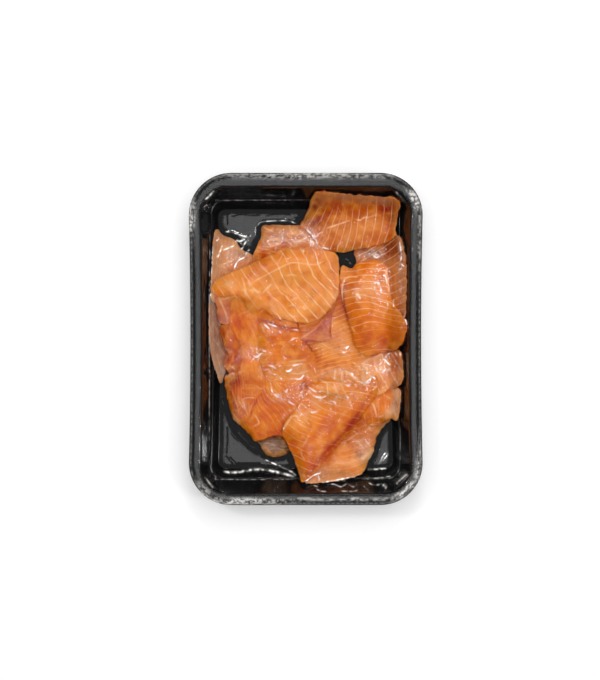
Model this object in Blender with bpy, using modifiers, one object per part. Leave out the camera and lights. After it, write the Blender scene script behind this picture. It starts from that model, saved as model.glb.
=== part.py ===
"""Pack of smoked salmon: a black formed tray, a heap of salmon trimmings in it and a clear skin film.

Lengths are in millimetres until a mesh is made. +Z is up, +Y runs along the tray's long side, and the tray stands
on the plane Z = 0 with its middle over the origin.
"""

import math

import bmesh
import bpy
import numpy as np
from mathutils import Vector

MM = 0.001

# Tray: outer size, wall and the levels of its upper face.
LENGTH = 196.0
WIDTH = 138.0
WALL = 0.6
FLOOR_Z = WALL
LEDGE_Z = 10.0
LAND_Z = 27.6
LIP_DROP = 3.0
LIP_EDGE = 0.9
STEP = 0.5
STEP_SLOPE = 0.4
OUTER_RADIUS = 25.0
LAND_INSET = 2.9
MOUTH_INSET = 7.2
MOUTH_EDGE = 0.5
MOUTH_RADIUS = 16.0
BACK = 1.4
SHELF_DROP = 2.0
SHELF_STEP = 0.1
SHELF_DEPTH = 1.3
LEDGE_INSET_X = 12.0
LEDGE_INSET_Y = 14.0
LEDGE_WIDTH = 1.0
LEDGE_FALL = 0.1
LEDGE_RADIUS = 7.6
FLOOR_INSET_X = 15.4
FLOOR_INSET_Y = 18.8
FLOOR_EDGE = 0.8
FLOOR_RADIUS = 4.9
SIDE_BOW = 0.9

# Points round every loop of the tray and the film.
ARC_STEPS = 5
LONG_STEPS = 6
SHORT_STEPS = 4

# Film: its thickness, its clearance, its inset from the tray's edge and its grid over the whole tray.
FILM = 0.25
FILM_GAP = 0.35
FILM_INSET = 1.2
FILM_CELLS = (24, 30)
FILM_REACH = 8
FILM_PASSES = 60

# Trimmings: clearance, rim and the scales of their loops about the middle.
GAP = 0.4
RIM_SHARE = 0.3
RING_SCALES = (1.0, 0.93, 0.66, 0.33)
RING_LIFT = (RIM_SHARE, 0.8, 1.0, 1.0)
OUTLINE_SPACING = 7.5
FEWEST_POINTS = 10

# Height field under the trimmings.
CELL = 0.5
MARGIN = 4.0
DRAPE_PASSES = 30
LIFT_PASSES = 40
TOLERANCE = 0.01

FLESH = {
    "orange": (0.80, 0.24, 0.05),
    "deep": (0.60, 0.13, 0.03),
    "pale": (0.72, 0.36, 0.18),
    "rose": (0.62, 0.22, 0.14),
    "fat": (0.60, 0.42, 0.28),
    "brown": (0.24, 0.13, 0.08),
}

# Name, colour, thickness and outline of each trimming, from the lowest to the highest.
TRIMMINGS = (
    ("scrap_dark", "brown", 3.0, ((-29, -61), (-26, -68), (-18, -71.5), (-10, -68), (-11, -60), (-20, -57))),
    (
        "fat_strip",
        "fat",
        3.0,
        ((-56.5, 31), (-57.5, 12), (-57, -5), (-54, -22), (-50, -26), (-46.5, -12), (-48.5, 5), (-53, 23)),
    ),
    (
        "trim_pale",
        "pale",
        4.0,
        ((-56, 40), (-55, 62), (-51, 63), (-42, 59), (-31, 49), (-32, 40), (-45, 32), (-56, 27)),
    ),
    (
        "strip_right",
        "orange",
        4.0,
        ((30, 53), (42, 57.5), (56.5, 61), (58.5, 45), (59, 28), (57.5, 10), (46, 10), (36, 29), (30, 43)),
    ),
    (
        "slice_under",
        "orange",
        5.0,
        ((51, -48), (43, -63), (33, -82), (18, -85), (-1, -85), (1, -77), (20, -57), (36, -42), (46, -42)),
    ),
    (
        "trim_side",
        "rose",
        4.0,
        ((-50, 9), (-41, 8), (-37.5, -6), (-35.5, -19), (-42, -24), (-48.5, -17), (-47, -4)),
    ),
    (
        "trim_top",
        "pale",
        5.5,
        ((-26, 68), (-15, 69.5), (-2, 68.5), (8, 58), (16, 51), (0, 40), (-20, 40), (-31, 47), (-28, 58)),
    ),
    (
        "fold_left",
        "orange",
        6.0,
        ((-47, 24), (-34, 27), (-18, 20), (-7, 4), (-8, -14), (-23, -25), (-41, -22), (-39.5, -7), (-44, 8)),
    ),
    (
        "band_middle",
        "orange",
        5.0,
        ((17, 36), (30, 33), (40, 15), (43, -8), (37, -24), (20, -26), (3, -27), (0, -14), (6, 2), (12, 16)),
    ),
    (
        "trim_fringe",
        "pale",
        4.0,
        ((39, -34), (44, -28.5), (55, -28), (56, -42), (53, -48.5), (43, -51), (34, -44)),
    ),
    (
        "trim_low_right",
        "pale",
        4.0,
        ((40, -11), (50, -6.5), (56.5, -8), (58.5, -20), (55, -29), (44, -31), (38.5, -22)),
    ),
    (
        "fold_middle",
        "rose",
        4.5,
        ((-22, 12), (-4, 12), (7, 0), (9, -18), (2, -34), (-13, -32), (-24, -20), (-26, -8)),
    ),
    ("flap_left", "rose", 3.0, ((-53, 25.5), (-45, 25), (-45.5, 10), (-51.5, 9))),
    (
        "slice_tail",
        "orange",
        6.0,
        ((1, 81), (8, 87), (30, 86), (51, 84.5), (56, 79), (54.5, 63), (43, 57), (24, 53), (9, 56), (-1, 68)),
    ),
    (
        "slice_right",
        "orange",
        6.0,
        (
            (22, 42.5),
            (30, 45.5),
            (44, 47),
            (50, 38),
            (53, 22),
            (59.5, 7),
            (55.5, -5),
            (44, -8),
            (33.5, -8.5),
            (27, 7),
            (21.5, 26),
        ),
    ),
    ("membrane_flap", "rose", 2.0, ((17.5, 22), (15, 0), (7, -2.5), (-2, 0.5), (3, 8))),
    (
        "edge_low",
        "pale",
        3.0,
        ((7, -26), (14.5, -18), (24, -18), (33, -24.5), (24, -32.5), (10, -31)),
    ),
    (
        "slice_low_left",
        "deep",
        6.0,
        (
            (-49, -24.5),
            (-47, -40),
            (-43, -50),
            (-32, -60),
            (-24, -60.5),
            (-12, -58),
            (0, -46),
            (3, -32),
            (-10, -22),
            (-32, -18),
        ),
    ),
    (
        "slice_centre",
        "orange",
        6.0,
        (
            (-56, 29),
            (-50, 37),
            (-36, 44),
            (-26, 48.5),
            (-10, 54.5),
            (7, 55),
            (18, 52),
            (20.5, 42),
            (19, 25),
            (12, 13),
            (0, 9.5),
            (-14, 11),
            (-26, 18),
            (-37, 21),
            (-46, 25),
        ),
    ),
    (
        "slice_low",
        "orange",
        6.0,
        (
            (-2, -34),
            (6, -25),
            (20, -24.5),
            (37, -22.5),
            (42, -25),
            (36, -38.5),
            (23.5, -56),
            (9, -72),
            (-2, -84),
            (-10.5, -66),
            (-13.5, -55),
            (-7, -44),
        ),
    ),
)


def material(name, colour, roughness):
    made = bpy.data.materials.new(name)
    made.use_nodes = True
    shader = made.node_tree.nodes["Principled BSDF"]
    shader.inputs["Base Color"].default_value = (*colour, 1.0)
    shader.inputs["Roughness"].default_value = roughness
    shader.inputs["Metallic"].default_value = 0.0
    return made


def finished(name, mesh, collection, surface):
    mesh.shade_smooth()
    mesh.materials.append(surface)
    made = bpy.data.objects.new(name, mesh)
    collection.objects.link(made)
    return made


def lofted_object(name, points, faces, collection, surface):
    """A mesh object from points in millimetres."""
    mesh = bpy.data.meshes.new(name)
    mesh.from_pydata([tuple(float(v) * MM for v in p) for p in points], [], faces)
    return finished(name, mesh, collection, surface)


def loop(inset_x, inset_y, radius, z, chord=0.0, back=0.0):
    """A rounded rectangle at height z, its long sides bowed in a little.

    chord cuts each corner off square, and back is how much further in its back side lies.
    """
    half_x = WIDTH / 2 - inset_x
    half_y = LENGTH / 2 - inset_y
    straight_x = half_x - radius
    straight_y = half_y - radius
    points = []
    for corner in range(4):
        sign_x = (1, -1, -1, 1)[corner]
        sign_y = (1, 1, -1, -1)[corner]
        for step in range(ARC_STEPS + 1):
            angle = math.radians(90 * (corner + step / ARC_STEPS))
            out_x = math.cos(angle)
            out_y = math.sin(angle)
            along = (abs(out_x) + abs(out_y)) / math.sqrt(2)
            cut = max(0.0, radius * along - (radius - chord)) / math.sqrt(2)
            points.append(
                (
                    sign_x * straight_x + radius * out_x - sign_x * cut,
                    sign_y * straight_y + radius * out_y - sign_y * cut,
                )
            )
        steps = (SHORT_STEPS, LONG_STEPS)[corner % 2]
        start = np.array(points[-1])
        sides = ((-straight_x, 0), (0, -straight_y), (straight_x, 0), (0, straight_y))
        across = 2 * np.array(sides)
        for step in range(1, steps):
            points.append(tuple(start + across[corner] * step / steps))
    bowed = []
    for x, y in points:
        share = max(0.0, 1 - (y / straight_y) ** 2)
        bow = SIDE_BOW * share * (abs(x) > straight_x)
        bowed.append((x - math.copysign(bow, x), y - back * (y > 0), z))
    return bowed


def lofted(loops):
    """Quads between loops of equal length, with a face over the last loop."""
    count = len(loops[0])
    points = [p for ring in loops for p in ring]
    faces = []
    for level in range(len(loops) - 1):
        low = level * count
        for i in range(count):
            j = (i + 1) % count
            faces.append((low + i, low + j, low + count + j, low + count + i))
    faces.append(tuple(range(len(points) - count, len(points))))
    return points, faces


def tray(collection):
    """Turned-down lip, step, flat sealing land, wall with a ledge and corner shelves, and floor."""
    step_inset = LAND_INSET - STEP_SLOPE
    land_edge = MOUTH_INSET - MOUTH_EDGE
    shelf = MOUTH_INSET + MOUTH_EDGE
    below = shelf + SHELF_STEP
    shelf_z = LAND_Z - SHELF_DROP
    loops = [
        loop(0.0, 0.0, OUTER_RADIUS, LAND_Z - LIP_DROP),
        loop(0.0, 0.0, OUTER_RADIUS, LAND_Z - STEP - LIP_EDGE),
        loop(LIP_EDGE, LIP_EDGE, OUTER_RADIUS - LIP_EDGE, LAND_Z - STEP),
        loop(step_inset, step_inset, OUTER_RADIUS - step_inset, LAND_Z - STEP),
        loop(LAND_INSET, LAND_INSET, OUTER_RADIUS - LAND_INSET, LAND_Z),
        loop(land_edge, land_edge, MOUTH_RADIUS + MOUTH_EDGE, LAND_Z, back=BACK),
        loop(MOUTH_INSET, MOUTH_INSET, MOUTH_RADIUS, LAND_Z - MOUTH_EDGE, back=BACK),
        loop(shelf, shelf, MOUTH_RADIUS - MOUTH_EDGE, shelf_z, back=BACK),
        loop(below, below, MOUTH_RADIUS - MOUTH_EDGE, shelf_z - SHELF_STEP, SHELF_DEPTH, BACK),
        loop(LEDGE_INSET_X, LEDGE_INSET_Y, LEDGE_RADIUS + LEDGE_WIDTH, LEDGE_Z),
        loop(LEDGE_INSET_X + LEDGE_WIDTH, LEDGE_INSET_Y + LEDGE_WIDTH, LEDGE_RADIUS, LEDGE_Z - LEDGE_FALL),
        loop(FLOOR_INSET_X, FLOOR_INSET_Y, FLOOR_RADIUS + FLOOR_EDGE, FLOOR_Z + FLOOR_EDGE),
        loop(FLOOR_INSET_X + FLOOR_EDGE, FLOOR_INSET_Y + FLOOR_EDGE, FLOOR_RADIUS, FLOOR_Z),
    ]
    points, faces = lofted(loops)
    black = material("tray_black", (0.012, 0.012, 0.013), 0.2)
    made = lofted_object("tray", points, faces, collection, black)
    shell = made.modifiers.new("wall", "SOLIDIFY")
    shell.thickness = WALL * MM
    shell.offset = -1.0
    shell.use_even_offset = True
    return np.array(points), faces


class Heights:
    """A height field over the tray, in millimetres."""

    def __init__(self, base):
        half_x = WIDTH / 2 + MARGIN
        half_y = LENGTH / 2 + MARGIN
        self.x = np.arange(-half_x, half_x + CELL, CELL)
        self.y = np.arange(-half_y, half_y + CELL, CELL)
        self.z = np.full((len(self.x), len(self.y)), base)

    def patch(self, triangle):
        """The cells round a triangle, its corners' shares of each, and its heights where it covers them."""
        a, b, c = triangle
        area = (b[0] - a[0]) * (c[1] - a[1]) - (b[1] - a[1]) * (c[0] - a[0])
        if abs(area) < 1e-6:
            area = np.inf
        i0, i1 = np.searchsorted(self.x, (triangle[:, 0].min(), triangle[:, 0].max()))
        j0, j1 = np.searchsorted(self.y, (triangle[:, 1].min(), triangle[:, 1].max()))
        cells = (slice(i0, i1 + 1), slice(j0, j1 + 1))
        x = self.x[cells[0], None]
        y = self.y[None, cells[1]]
        to_b = ((x - a[0]) * (c[1] - a[1]) - (y - a[1]) * (c[0] - a[0])) / area
        to_c = ((b[0] - a[0]) * (y - a[1]) - (b[1] - a[1]) * (x - a[0])) / area
        shares = np.array((1 - to_b - to_c, to_b, to_c))
        inside = (shares.min(axis=0) >= -1e-6) & np.isfinite(area)
        z = np.where(inside, np.tensordot(triangle[:, 2], shares, 1), np.nan)
        return cells, shares, z

    def cover(self, points, triangles):
        """Raises the field to the triangles' heights."""
        for triangle in triangles:
            cells, _, z = self.patch(points[list(triangle)])
            self.z[cells] = np.fmax(self.z[cells], z)

    def clear(self, points, triangles, gap, free):
        """Lifts the free points until the triangles are a gap above the field, the nearest corners most."""
        over = self.widened(1) + gap
        for _ in range(LIFT_PASSES):
            lift = np.zeros(len(points))
            for triangle in triangles:
                cells, shares, z = self.patch(points[list(triangle)])
                lack = np.nan_to_num(over[cells] - z, nan=0.0)
                if lack.size and lack.max() > TOLERANCE:
                    worst = np.unravel_index(lack.argmax(), lack.shape)
                    share = np.clip(shares[(slice(None), *worst)], 0, 1)
                    corners = list(triangle)
                    raised = lack[worst] * share / (share @ share)
                    lift[corners] = np.maximum(lift[corners], raised)
            if not (lift * free).any():
                break
            points[:, 2] += lift * free

    def widened(self, reach):
        """The highest value within reach cells each way."""
        wide = self.z.copy()
        for _ in range(reach):
            padded = np.pad(wide, 1, mode="edge")
            sides = (padded[2:, 1:-1], padded[:-2, 1:-1], padded[1:-1, 2:], padded[1:-1, :-2])
            wide = np.maximum.reduce((wide, *sides))
        return wide

    def at(self, field, x, y):
        """Reads a field at points, between its cells."""
        i = np.clip((x - self.x[0]) / CELL, 0, len(self.x) - 2)
        j = np.clip((y - self.y[0]) / CELL, 0, len(self.y) - 2)
        i0 = i.astype(int)
        j0 = j.astype(int)
        s = i - i0
        t = j - j0
        low = field[i0, j0] * (1 - s) + field[i0 + 1, j0] * s
        high = field[i0, j0 + 1] * (1 - s) + field[i0 + 1, j0 + 1] * s
        return low * (1 - t) + high * t


def draped(field, passes):
    """A field smoothed like a sheet laid over it: it bridges hollows and never goes below the field."""
    sheet = field.copy()
    for _ in range(passes):
        padded = np.pad(sheet, 1, mode="edge")
        mean = (padded[2:, 1:-1] + padded[:-2, 1:-1] + padded[1:-1, 2:] + padded[1:-1, :-2]) / 4
        sheet = np.maximum(field, mean)
    return sheet


def triangles_of(faces):
    return [(f[0], f[i], f[i + 1]) for f in faces for i in range(1, len(f) - 1)]


def smooth_outline(corners):
    """Evenly spaced points on a closed Catmull-Rom curve through the corners, anticlockwise."""
    corners = np.array(corners, float)
    after = np.roll(corners, -1, axis=0)
    if np.sum(corners[:, 0] * after[:, 1] - after[:, 0] * corners[:, 1]) < 0:
        corners = corners[::-1]
    fine = []
    for i in range(len(corners)):
        p0, p1, p2, p3 = (corners[(i + k) % len(corners)] for k in (-1, 0, 1, 2))
        for t in np.linspace(0, 1, 12, endpoint=False):
            bend = 2 * p0 - 5 * p1 + 4 * p2 - p3
            twist = 3 * (p1 - p2) + p3 - p0
            fine.append((2 * p1 + (p2 - p0) * t + bend * t**2 + twist * t**3) / 2)
    fine = np.array(fine + fine[:1])
    lengths = np.concatenate(([0], np.cumsum(np.linalg.norm(np.diff(fine, axis=0), axis=1))))
    count = max(FEWEST_POINTS, round(lengths[-1] / OUTLINE_SPACING))
    where = np.linspace(0, lengths[-1], count, endpoint=False)
    return np.column_stack([np.interp(where, lengths, fine[:, k]) for k in (0, 1)])


def trimming(name, colour, thickness, corners, heap, food, collection):
    """A slab with a thin rim, laid over what is under it and lifted until it is clear."""
    outline = smooth_outline(corners)
    count = len(outline)
    middle = outline.mean(axis=0)
    plan = [middle + scale * (outline - middle) for scale in RING_SCALES]
    plan = np.concatenate(plan + [middle[None, :]])
    lift = np.concatenate([np.full(count, share) for share in RING_LIFT] + [np.ones(1)]) * thickness
    rings = len(RING_SCALES)
    top = []
    for ring in range(rings - 1):
        for i in range(count):
            j = (i + 1) % count
            top.append((ring * count + i, ring * count + j, (ring + 1) * count + j, (ring + 1) * count + i))
    inner = (rings - 1) * count
    top += [(inner + i, inner + (i + 1) % count, rings * count) for i in range(count)]
    top = triangles_of(top)
    x, y = plan.T
    under = heap.at(draped(heap.widened(1), DRAPE_PASSES), x, y) + GAP
    lower = np.column_stack((x, y, under))
    heap.clear(lower, top, GAP, free=1.0)
    upper = lower + lift[:, None] * (0, 0, 1)
    heap.cover(upper, top)
    food.cover(upper, top)
    total = len(plan)
    points = np.concatenate((upper, lower))
    bottom = [tuple(total + v for v in reversed(face)) for face in top]
    side = [(i, total + i, total + (i + 1) % count, (i + 1) % count) for i in range(count)]
    flesh = material(f"{name}_flesh", FLESH[colour], 0.3)
    lofted_object(name, points, top + bottom + side, collection, flesh)


def film_rings():
    """The film's loops, from its outer edge to the floor's edge.

    Each has its insets, corner radius, height, corner cut and how much further in its back side lies.
    """
    land_edge = MOUTH_INSET - MOUTH_EDGE
    shelf = MOUTH_INSET + MOUTH_EDGE + SHELF_STEP + FILM_GAP
    ledge = LEDGE_WIDTH + FILM_GAP
    floor = FLOOR_EDGE + FILM_GAP
    return (
        (FILM_INSET, FILM_INSET, OUTER_RADIUS - FILM_INSET, LAND_Z, 0.0, 0.0),
        (land_edge, land_edge, MOUTH_RADIUS + MOUTH_EDGE, LAND_Z, 0.0, BACK),
        (shelf, shelf, MOUTH_RADIUS - MOUTH_EDGE, LAND_Z - SHELF_DROP + SHELF_STEP, SHELF_DEPTH, BACK),
        (LEDGE_INSET_X + ledge, LEDGE_INSET_Y + ledge, LEDGE_RADIUS, LEDGE_Z, 0.0, 0.0),
        (FLOOR_INSET_X + floor, FLOOR_INSET_Y + floor, FLOOR_RADIUS, FLOOR_Z, 0.0, 0.0),
    )


def framed(u, v, ring):
    """A point of the square's edge, max(|u|, |v|) = 1, moved to one of the film's loops."""
    inset_x, inset_y, radius, _, chord, back = ring
    half = np.array((WIDTH / 2 - inset_x, LENGTH / 2 - inset_y))
    point = np.abs((u, v)) * half
    past = point - (half - radius)
    if past.min() > 0:
        past *= radius / np.linalg.norm(past)
        past -= max(0.0, past.sum() / math.sqrt(2) - (radius - chord)) / math.sqrt(2)
        point = half - radius + past
    bow = SIDE_BOW * max(0.0, 1 - (point[1] / (half[1] - radius)) ** 2) * (past[0] > 0)
    return math.copysign(point[0] - bow, u), math.copysign(point[1], v) - back * (v > 0)


def film(food, collection):
    """A skin that lies on the land, follows the wall down and lies over the trimmings and the bare floor."""
    rings = film_rings()
    grid = bmesh.new()
    bmesh.ops.create_grid(grid, x_segments=FILM_CELLS[0], y_segments=FILM_CELLS[1], size=1.0)
    floor_share = [1 - 2 * (len(rings) - 1) / cells for cells in FILM_CELLS]
    inner = rings[-1]
    free = []
    for vert in grid.verts:
        u, v = vert.co.x, vert.co.y
        ring = round(min((1 - abs(u)) * FILM_CELLS[0], (1 - abs(v)) * FILM_CELLS[1]) / 2)
        if ring < len(rings):
            u /= 1 - 2 * ring / FILM_CELLS[0]
            v /= 1 - 2 * ring / FILM_CELLS[1]
            x, y = framed(u, v, rings[ring])
            z = rings[ring][3]
        else:
            x = u / floor_share[0] * (WIDTH / 2 - inner[0])
            y = v / floor_share[1] * (LENGTH / 2 - inner[1])
            z = FLOOR_Z
        vert.co = (x, y, z + FILM_GAP)
        free.append(ring > 1)
    bmesh.ops.triangulate(grid, faces=grid.faces)
    points = np.array([tuple(vert.co) for vert in grid.verts])
    faces = [tuple(v.index for v in face.verts) for face in grid.faces]
    free = np.array(free)
    over = food.at(draped(food.widened(FILM_REACH), FILM_PASSES), points[:, 0], points[:, 1]) + FILM_GAP
    points[free, 2] = np.maximum(points[:, 2], over)[free]
    food.clear(points, faces, FILM_GAP, free)
    for vert, point in zip(grid.verts, points):
        vert.co = Vector(point) * MM
    mesh = bpy.data.meshes.new("film")
    grid.to_mesh(mesh)
    grid.free()
    made = finished("film", mesh, collection, material("film_clear", (0.85, 0.87, 0.88), 0.1))
    sheet = made.modifiers.new("thickness", "SOLIDIFY")
    sheet.thickness = FILM * MM
    sheet.offset = 1.0
    sheet.use_even_offset = False


def main():
    for old in list(bpy.data.objects):
        bpy.data.objects.remove(old, do_unlink=True)
    pack = bpy.data.collections.new("pack_of_smoked_salmon")
    bpy.context.scene.collection.children.link(pack)
    tray_points, tray_faces = tray(pack)
    heap = Heights(FLOOR_Z)
    heap.cover(tray_points, triangles_of(tray_faces))
    food = Heights(0.0)
    for name, colour, thickness, corners in TRIMMINGS:
        trimming(name, colour, thickness, corners, heap, food, pack)
    film(food, pack)


main()
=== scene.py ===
"""The looks of a pack of smoked salmon: trimmings under a clear skin film in a black formed tray.

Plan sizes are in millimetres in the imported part's own frame, and MM turns them into metres in each mesh.
A Field holds heights over the tray. Each trimming is laid over the field as it stands, then raises it, and
the film is drawn down over the last one.
"""

import math

import bpy
import numpy as np
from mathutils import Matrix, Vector, kdtree
from mathutils.geometry import delaunay_2d_cdt


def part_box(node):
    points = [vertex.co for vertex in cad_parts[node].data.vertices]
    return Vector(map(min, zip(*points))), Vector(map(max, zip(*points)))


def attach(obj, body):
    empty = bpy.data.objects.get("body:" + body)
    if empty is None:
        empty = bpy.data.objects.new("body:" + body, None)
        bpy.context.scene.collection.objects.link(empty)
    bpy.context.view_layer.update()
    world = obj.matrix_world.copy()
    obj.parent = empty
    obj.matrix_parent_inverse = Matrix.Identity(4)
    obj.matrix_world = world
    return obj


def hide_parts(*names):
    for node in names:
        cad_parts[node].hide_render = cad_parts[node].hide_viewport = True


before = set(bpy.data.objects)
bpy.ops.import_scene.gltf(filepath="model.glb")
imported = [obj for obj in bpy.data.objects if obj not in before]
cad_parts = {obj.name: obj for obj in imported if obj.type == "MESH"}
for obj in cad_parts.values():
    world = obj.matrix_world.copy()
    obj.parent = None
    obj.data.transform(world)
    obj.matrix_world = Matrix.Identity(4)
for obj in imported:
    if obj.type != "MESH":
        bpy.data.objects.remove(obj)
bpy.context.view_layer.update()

MM = 0.001

# Tray: its levels and insets from the outer edge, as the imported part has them.
tray_low, tray_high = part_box("tray")
WIDTH = (tray_high[0] - tray_low[0]) / MM
LENGTH = (tray_high[1] - tray_low[1]) / MM
LAND_Z = tray_high[2] / MM
WALL = 0.6
LEDGE_Z = 10.0
OUTER_RADIUS = 25.0
SIDE_BOW = 0.9
BACK = 1.4

# Film: the pitch of the gripper's ticks along its loose edge.
TICK = 1.5

# Light that the film adds over the food, taken off its own colour.
VEIL = 0.03
# What a deeper place keeps of its red, green and blue.
DEEPER = (0.8, 0.53, 0.38)

# Height above which trimmings flatten off.
FREE_Z = 19.5

# Field over the tray.
CELL = 0.5
MARGIN = 2.0

# Colours as red, green and blue out of 255.
PALETTE = {
    "sand": (208, 158, 124),
    "glow": (240, 164, 84),
    "taupe": (160, 120, 104),
    "grey": (168, 140, 126),
    "fat": (205, 172, 145),
    "cream": (248, 212, 168),
    "peach": (232, 160, 104),
    "apricot": (222, 138, 66),
    "salmon": (212, 132, 84),
    "tan": (196, 126, 84),
    "copper": (198, 110, 50),
    "orange": (224, 124, 44),
    "amber": (232, 148, 76),
    "ochre": (196, 128, 56),
    "rust_orange": (214, 112, 28),
    "deep": (190, 82, 20),
    "rust": (176, 62, 28),
    "russet": (150, 72, 40),
    "brown": (128, 56, 20),
    "umber": (110, 80, 62),
    "dark": (60, 40, 26),
    "maroon": (120, 36, 28),
    "red": (158, 44, 30),
    "rose": (190, 100, 84),
    "blush": (208, 122, 98),
    "mauve": (180, 104, 98),
}

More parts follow.
